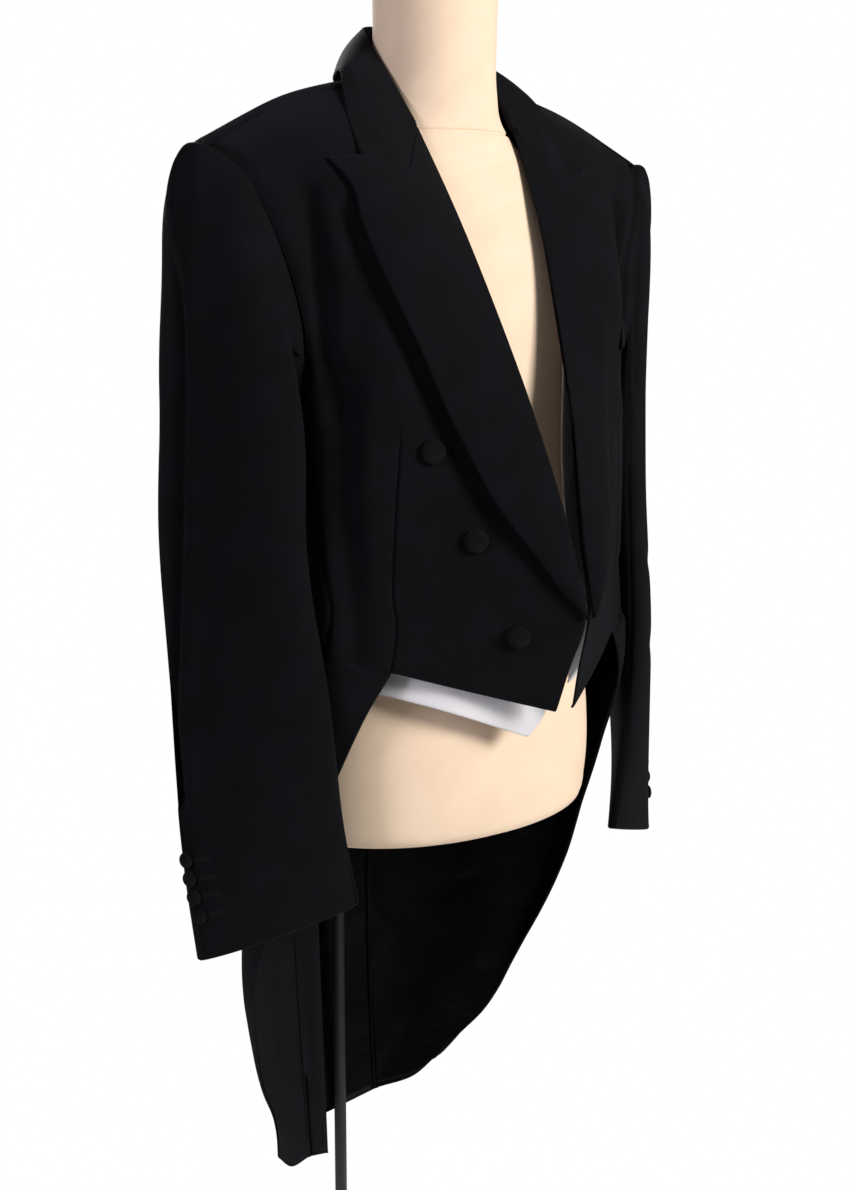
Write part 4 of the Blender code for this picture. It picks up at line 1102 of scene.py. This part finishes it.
# How far the outer edge of each lapel stands up, and how round that lift runs
edgeLift = {"right": 0.0055, "left": 0.0010, "round": 0.6}
lapelShares = np.linspace(0, 1, netSteps["lapel"][0] + 1)[:, None, None]
lapelHeights = np.linspace(0, 1, netSteps["lapel"][1] + 1)[None, :, None]
for side in bothSides:
    lapelNet = sampled("lapel", lambda u, v: lapelSurface(side, u, v))
    rise = edgeLift[side] * lapelShares**2 * np.sin(math.pi * lapelHeights)**edgeLift["round"]
    lapelNet = lapelNet + outward(lapelNet) * rise
    clothPanel("lapel_" + side, lapelNet, side, wool,
               wall=foldedWall, edges=("start", "end", "top"), spacing=0.004, folds=lapelFolds[side])
weltNet = sampled("welt", weltSurface)
clothPanel("breast_welt", weltNet, "left", wool, edges=edgeNames,
           spacing=0.004)
print("collar and lapels")

# Covered buttons: turns of each round, rise of the crown, and share and rise of each round
buttonShape = {"turns": 40, "crown": 1.005,
               "rounds": ((0.20, 0.655), (0.40, 0.63), (0.60, 0.58), (0.76, 0.51), (0.88, 0.43),
                          (0.96, 0.35), (1.00, 0.27), (0.98, 0.20), (0.90, 0.16), (0.34, 0.15),
                          (0.30, 0.02))}


# Domed button covered in woven cloth, its UVs laid flat over the face
def covered(nodeName, point, normal, side, radius):
    sign = -1.0 if side == "right" else 1.0
    turns, rounds = buttonShape["turns"], buttonShape["rounds"]
    points = [(0.0, 0.0, radius * rounds[0][1] * buttonShape["crown"])]
    for share, rise in rounds:
        points += [(radius * share * math.cos(2 * math.pi * i / turns),
                    radius * share * math.sin(2 * math.pi * i / turns), radius * rise) for i in range(turns)]
    faces = [(0, 1 + i, 1 + (i + 1) % turns) for i in range(turns)]
    for row in range(len(rounds) - 1):
        for i in range(turns):
            a = 1 + row * turns
            j = (i + 1) % turns
            faces.append((a + i, a + turns + i, a + turns + j, a + j))
    last = 1 + (len(rounds) - 1) * turns
    faces.append(tuple(last + turns - 1 - i for i in range(turns)))
    name = pieceName(nodeName)
    mesh = bpy.data.meshes.new(name)
    mesh.from_pydata(points, [], faces)
    layer = mesh.uv_layers.new(name="cloth")
    for corner in mesh.loops:
        spot = mesh.vertices[corner.vertex_index].co
        layer.data[corner.index].uv = (spot.x, spot.y)
    axis = Vector((normal[0] * sign, normal[1], normal[2]))
    spot = Vector((point[0] * sign, point[1], point[2] + shoulderZ))
    mesh.transform(Matrix.Translation(spot) @ axis.to_track_quat("Z", "Y").to_matrix().to_4x4())
    mesh.shade_smooth()
    mesh.materials.append(buttonCloth)
    made = bpy.data.objects.new(name, mesh)
    scene.collection.objects.link(made)
    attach(made, "root")
    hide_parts(nodeName)
    return made


# Radius of the front and cuff buttons, and the gap of the front ones off the cloth
buttons = {"front": 0.0095, "cuff": 0.0065, "gap": 0.0006}
for side in bothSides:
    for count, (x, z) in enumerate(frontButtonPlaces[side], start=1):
        point, normal = onFront(x, z, buttons["gap"])
        covered("front_button_%s_%d" % (side, count), hung(side, point), normal, side, buttons["front"])
    for count, (turn, z) in enumerate(cuffButtonPlaces, start=1):
        point, normal = onSleeve(turn, z, seam)
        covered("cuff_button_%s_%d" % (side, count), hung(side, point), normal, side, buttons["cuff"])


# Buttonholes of the cuffs, stitched in thread
# Stitches laid on points, each turned by the attribute named turn
def stitchNodes():
    group = bpy.data.node_groups.new("stitches", "GeometryNodeTree")
    group.interface.new_socket("Geometry", in_out="INPUT", socket_type="NodeSocketGeometry")
    group.interface.new_socket("Geometry", in_out="OUTPUT", socket_type="NodeSocketGeometry")
    size = group.interface.new_socket("Size", in_out="INPUT", socket_type="NodeSocketVector")
    look = group.interface.new_socket("Thread", in_out="INPUT", socket_type="NodeSocketMaterial")
    enter = group.nodes.new("NodeGroupInput")
    leave = group.nodes.new("NodeGroupOutput")
    bead = group.nodes.new("GeometryNodeMeshUVSphere")
    bead.inputs["Segments"].default_value = 8
    bead.inputs["Rings"].default_value = 5
    bead.inputs["Radius"].default_value = 0.5
    turn = group.nodes.new("GeometryNodeInputNamedAttribute")
    turn.data_type = "FLOAT_VECTOR"
    turn.inputs["Name"].default_value = "turn"
    laid = group.nodes.new("GeometryNodeInstanceOnPoints")
    whole = group.nodes.new("GeometryNodeRealizeInstances")
    dressed = group.nodes.new("GeometryNodeSetMaterial")
    link(group, enter.outputs["Geometry"], laid.inputs["Points"])
    link(group, bead.outputs["Mesh"], laid.inputs["Instance"])
    link(group, turn.outputs["Attribute"], laid.inputs["Rotation"])
    link(group, enter.outputs["Size"], laid.inputs["Scale"])
    link(group, laid.outputs["Instances"], whole.inputs["Geometry"])
    link(group, whole.outputs["Geometry"], dressed.inputs["Geometry"])
    link(group, enter.outputs["Thread"], dressed.inputs["Material"])
    link(group, dressed.outputs["Geometry"], leave.inputs["Geometry"])
    return group, size.identifier, look.identifier


stitchGroup, sizeSocket, threadSocket = stitchNodes()


# Piece of joined stitches at spots, each a point, the way the stitch runs and the normal
def stitched(name, spots, side, size, look):
    sign = -1.0 if side == "right" else 1.0
    mesh = bpy.data.meshes.new(name)
    mesh.from_pydata([(p[0] * sign, p[1], p[2] + shoulderZ) for p, way, normal in spots], [], [])
    turns = mesh.attributes.new("turn", "FLOAT_VECTOR", "POINT")
    for item, (p, way, normal) in zip(turns.data, spots):
        along = Vector((way[0] * sign, way[1], way[2])).normalized()
        up = Vector((normal[0] * sign, normal[1], normal[2])).normalized()
        item.vector = Matrix((along, up.cross(along), up)).transposed().to_euler()
    made = bpy.data.objects.new(name, mesh)
    scene.collection.objects.link(made)
    rows = made.modifiers.new("Stitches", "NODES")
    rows.node_group = stitchGroup
    rows[sizeSocket] = size
    rows[threadSocket] = look
    joined = bpy.data.meshes.new_from_object(made.evaluated_get(bpy.context.evaluated_depsgraph_get()))
    made.modifiers.clear()
    made.data = joined
    joined.name = name
    joined.shade_smooth()
    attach(made, "root")
    return made


# Buttonholes: stitches in a row, turns at which they start and end, gap of the two rows, stitch size
holes = {"stitches": 13, "turns": (7.0, 27.0), "apart": 0.0009, "lift": 0.0001, "rise": 0.002,
         "size": (0.0019, 0.0008, 0.0007)}
for side in bothSides:
    spots = []
    for turn, z in cuffButtonPlaces:
        first, last = holes["turns"]
        for i in range(holes["stitches"]):
            at = turn - first - (last - first) * i / (holes["stitches"] - 1)
            for row in (-1, 1):
                point, normal = onSleeve(at, z + row * holes["apart"], holes["lift"])
                rise = onSleeve(at, z + holes["rise"], 0.0)[0] - point
                spots.append((point, rise, normal))
    stitched("cuffHoles" + side.title(), spots, side, holes["size"], thread)
print("buttons")

# Waistcoat, its left front drawn towards the middle where the coat opens
vestWall = 0.0015
vestHang = {"right": (), "left": (((0.046, -0.112, -0.275), 0.070, (-0.0110, -0.0030, 0.0)),)}
for side in bothSides:
    vestNet = hungNet(vestHang[side], sampled("vestFront", lambda u, v: vestFront(side, u, v)))
    clothPanel("waistcoat_front_" + side, vestNet, side, marcella,
               wall=vestWall, edges=edgeNames)
vestNet = sampled("vestBack", vestBack)
wholeVest = np.concatenate((vestNet, (vestNet * (-1, 1, 1))[-2::-1]))
clothPanel("waistcoat_back", wholeVest, "left", marcella, wall=vestWall,
           edges=edgeNames)
print("waistcoat")

# Dress form, with its neck seam and the seams down both sides of the neck
neckSeam = {"front": 0.0165, "rise": 0.050, "depth": 0.0018, "width": 0.0012, "margin": 0.003,
            "step": 0.0007}
neckSide = ((0.0496, -0.0004, 0.1152), (0.0502, 0.0069, 0.1024), (0.0491, 0.0190, 0.0847),
            (0.060, 0.020, 0.060))
formTurns = 120
formStep = 0.006 / fine
endShares = (0.985, 0.9, 0.5, 0.0)
endDome = 0.0005


# Net round the form between two heights, closed at both ends
def formNet(low, high):
    heights = np.arange(low, high, formStep)
    lowest = neckSeam["front"] - neckSeam["margin"]
    highest = neckSeam["front"] + neckSeam["rise"] + neckSeam["margin"]
    close = np.arange(lowest, highest, neckSeam["step"])
    heights = np.unique(np.concatenate((heights, close[(close > low) & (close < high)], [high])))
    net = []
    for i in range(formTurns + 1):
        turn = 2 * math.pi * i / formTurns
        column = []
        for z in heights:
            halfWidth, halfDepth, middle = formSize(z)
            column.append((halfWidth * math.cos(turn), middle + halfDepth * math.sin(turn), z))
        for end in (0, -1):
            x, y, z = column[end]
            middle = formSize(z)[2]
            lift = endDome if end == -1 else -endDome
            for share in endShares:
                spot = (x * share, middle + (y - middle) * share, z + lift * (1 - share))
                if end == 0:
                    column.insert(0, spot)
                else:
                    column.append(spot)
        net.append(column)
    return np.array(net)


torsoNet = formNet(formRows[0][0], formRows[-1][0])
torsoTurns = np.linspace(0, 2 * math.pi, formTurns + 1)[:, None]
ringHeight = neckSeam["front"] + neckSeam["rise"] * np.maximum(0.0, np.sin(torsoTurns))**2
ringDrop = neckSeam["depth"] * np.exp(-((torsoNet[..., 2] - ringHeight) / neckSeam["width"])**2)
for sign in (1, -1):
    away = distanceTo(torsoNet, np.array(neckSide) * (sign, 1, 1))
    ringDrop += neckSeam["depth"] * np.exp(-(away / neckSeam["width"])**2)
inward = torsoNet - np.array([(0.0, formSize(z)[2], 0.0) for z in torsoNet[0, :, 2]])
inward[..., 2] = 0.0
inward = inward / np.maximum(np.linalg.norm(inward, axis=-1), 1e-6)[..., None]
torso = meshOf("formTorso", torsoNet - inward * ringDrop[..., None], "left", jersey)
torso.modifiers.new("Join", "WELD").merge_threshold = 0.0001
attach(torso, "root")
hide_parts("form_torso")
print("form")

# Stand and neck cap
standLooks = {"form_bracket": steel, "pole": steel, "pole_foot": steel, "base_plate": steel,
              "neck_cap": jersey}
for name, look in standLooks.items():
    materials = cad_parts[name].data.materials
    materials.clear()
    materials.append(look)
print("stand")


# Floor, light and camera
def plainStage(name, radius, look):
    mesh = bpy.data.meshes.new(name)
    turns = [2 * math.pi * i / formTurns for i in range(formTurns)]
    rim = [(radius * math.cos(turn), radius * math.sin(turn), 0.0) for turn in turns]
    mesh.from_pydata(rim, [], [range(formTurns)])
    mesh.materials.append(look)
    made = bpy.data.objects.new(name, mesh)
    scene.collection.objects.link(made)
    return made


floorValues = {"Base Color": (0.85, 0.85, 0.85, 1), "Roughness": 0.9, "Emission Color": (1, 1, 1, 1),
               "Emission Strength": 0.35}
plainStage("floor", 0.78, newMaterial("paleFloor", floorValues)[0])

roomLight = 0.19
world = bpy.data.worlds.new("studio")
scene.world = world
world.use_nodes = True
sky = world.node_tree
soft = sky.nodes["Background"]
soft.inputs["Color"].default_value = (1, 1, 1, 1)
soft.inputs["Strength"].default_value = roomLight
white = node(sky, "ShaderNodeBackground", Color=(1, 1, 1, 1), Strength=1.0)
path = node(sky, "ShaderNodeLightPath")
shown = node(sky, "ShaderNodeMixShader")
link(sky, path.outputs["Is Camera Ray"], shown.inputs[0])
link(sky, soft.outputs[0], shown.inputs[1])
link(sky, white.outputs[0], shown.inputs[2])
link(sky, shown.outputs[0], sky.nodes["World Output"].inputs["Surface"])


def softLight(name, place, aim, size, power, colour=(1, 1, 1)):
    data = bpy.data.lights.new(name, "AREA")
    data.shape = "RECTANGLE"
    data.size, data.size_y = size
    data.energy = power
    data.color = colour
    made = bpy.data.objects.new(name, data)
    made.location = place
    made.rotation_euler = (Vector(aim) - Vector(place)).to_track_quat("-Z", "Y").to_euler()
    scene.collection.objects.link(made)
    return made


# Lights: place, aim, size, power and colour
lights = {
    "keyLight": ((0.95, -2.40, 2.05), (0, 0, 1.15), (0.9, 0.9), 84),
    "backLight": ((1.2, 2.7, 2.4), (0, 0, 1.0), (1.4, 1.4), 100),
    "sideLight": ((-3.0, -0.35, 2.0), (-0.2, 0, 1.20), (0.8, 1.2), 38, (0.88, 0.86, 1.0)),
}
for name, values in lights.items():
    softLight(name, *values)

view = {"lens": 50, "sensor": 36, "place": (-0.88076, -1.0892, 1.34396),
        "turn": (math.pi / 2 - 0.19863, 0, -0.67097)}
lens = bpy.data.cameras.new("camera")
lens.lens = view["lens"]
lens.sensor_width = view["sensor"]
camera = bpy.data.objects.new("camera", lens)
camera.location = view["place"]
camera.rotation_euler = view["turn"]
scene.collection.objects.link(camera)
scene.camera = camera
print("floor, lights and camera")
scene.view_settings.view_transform = "Standard"
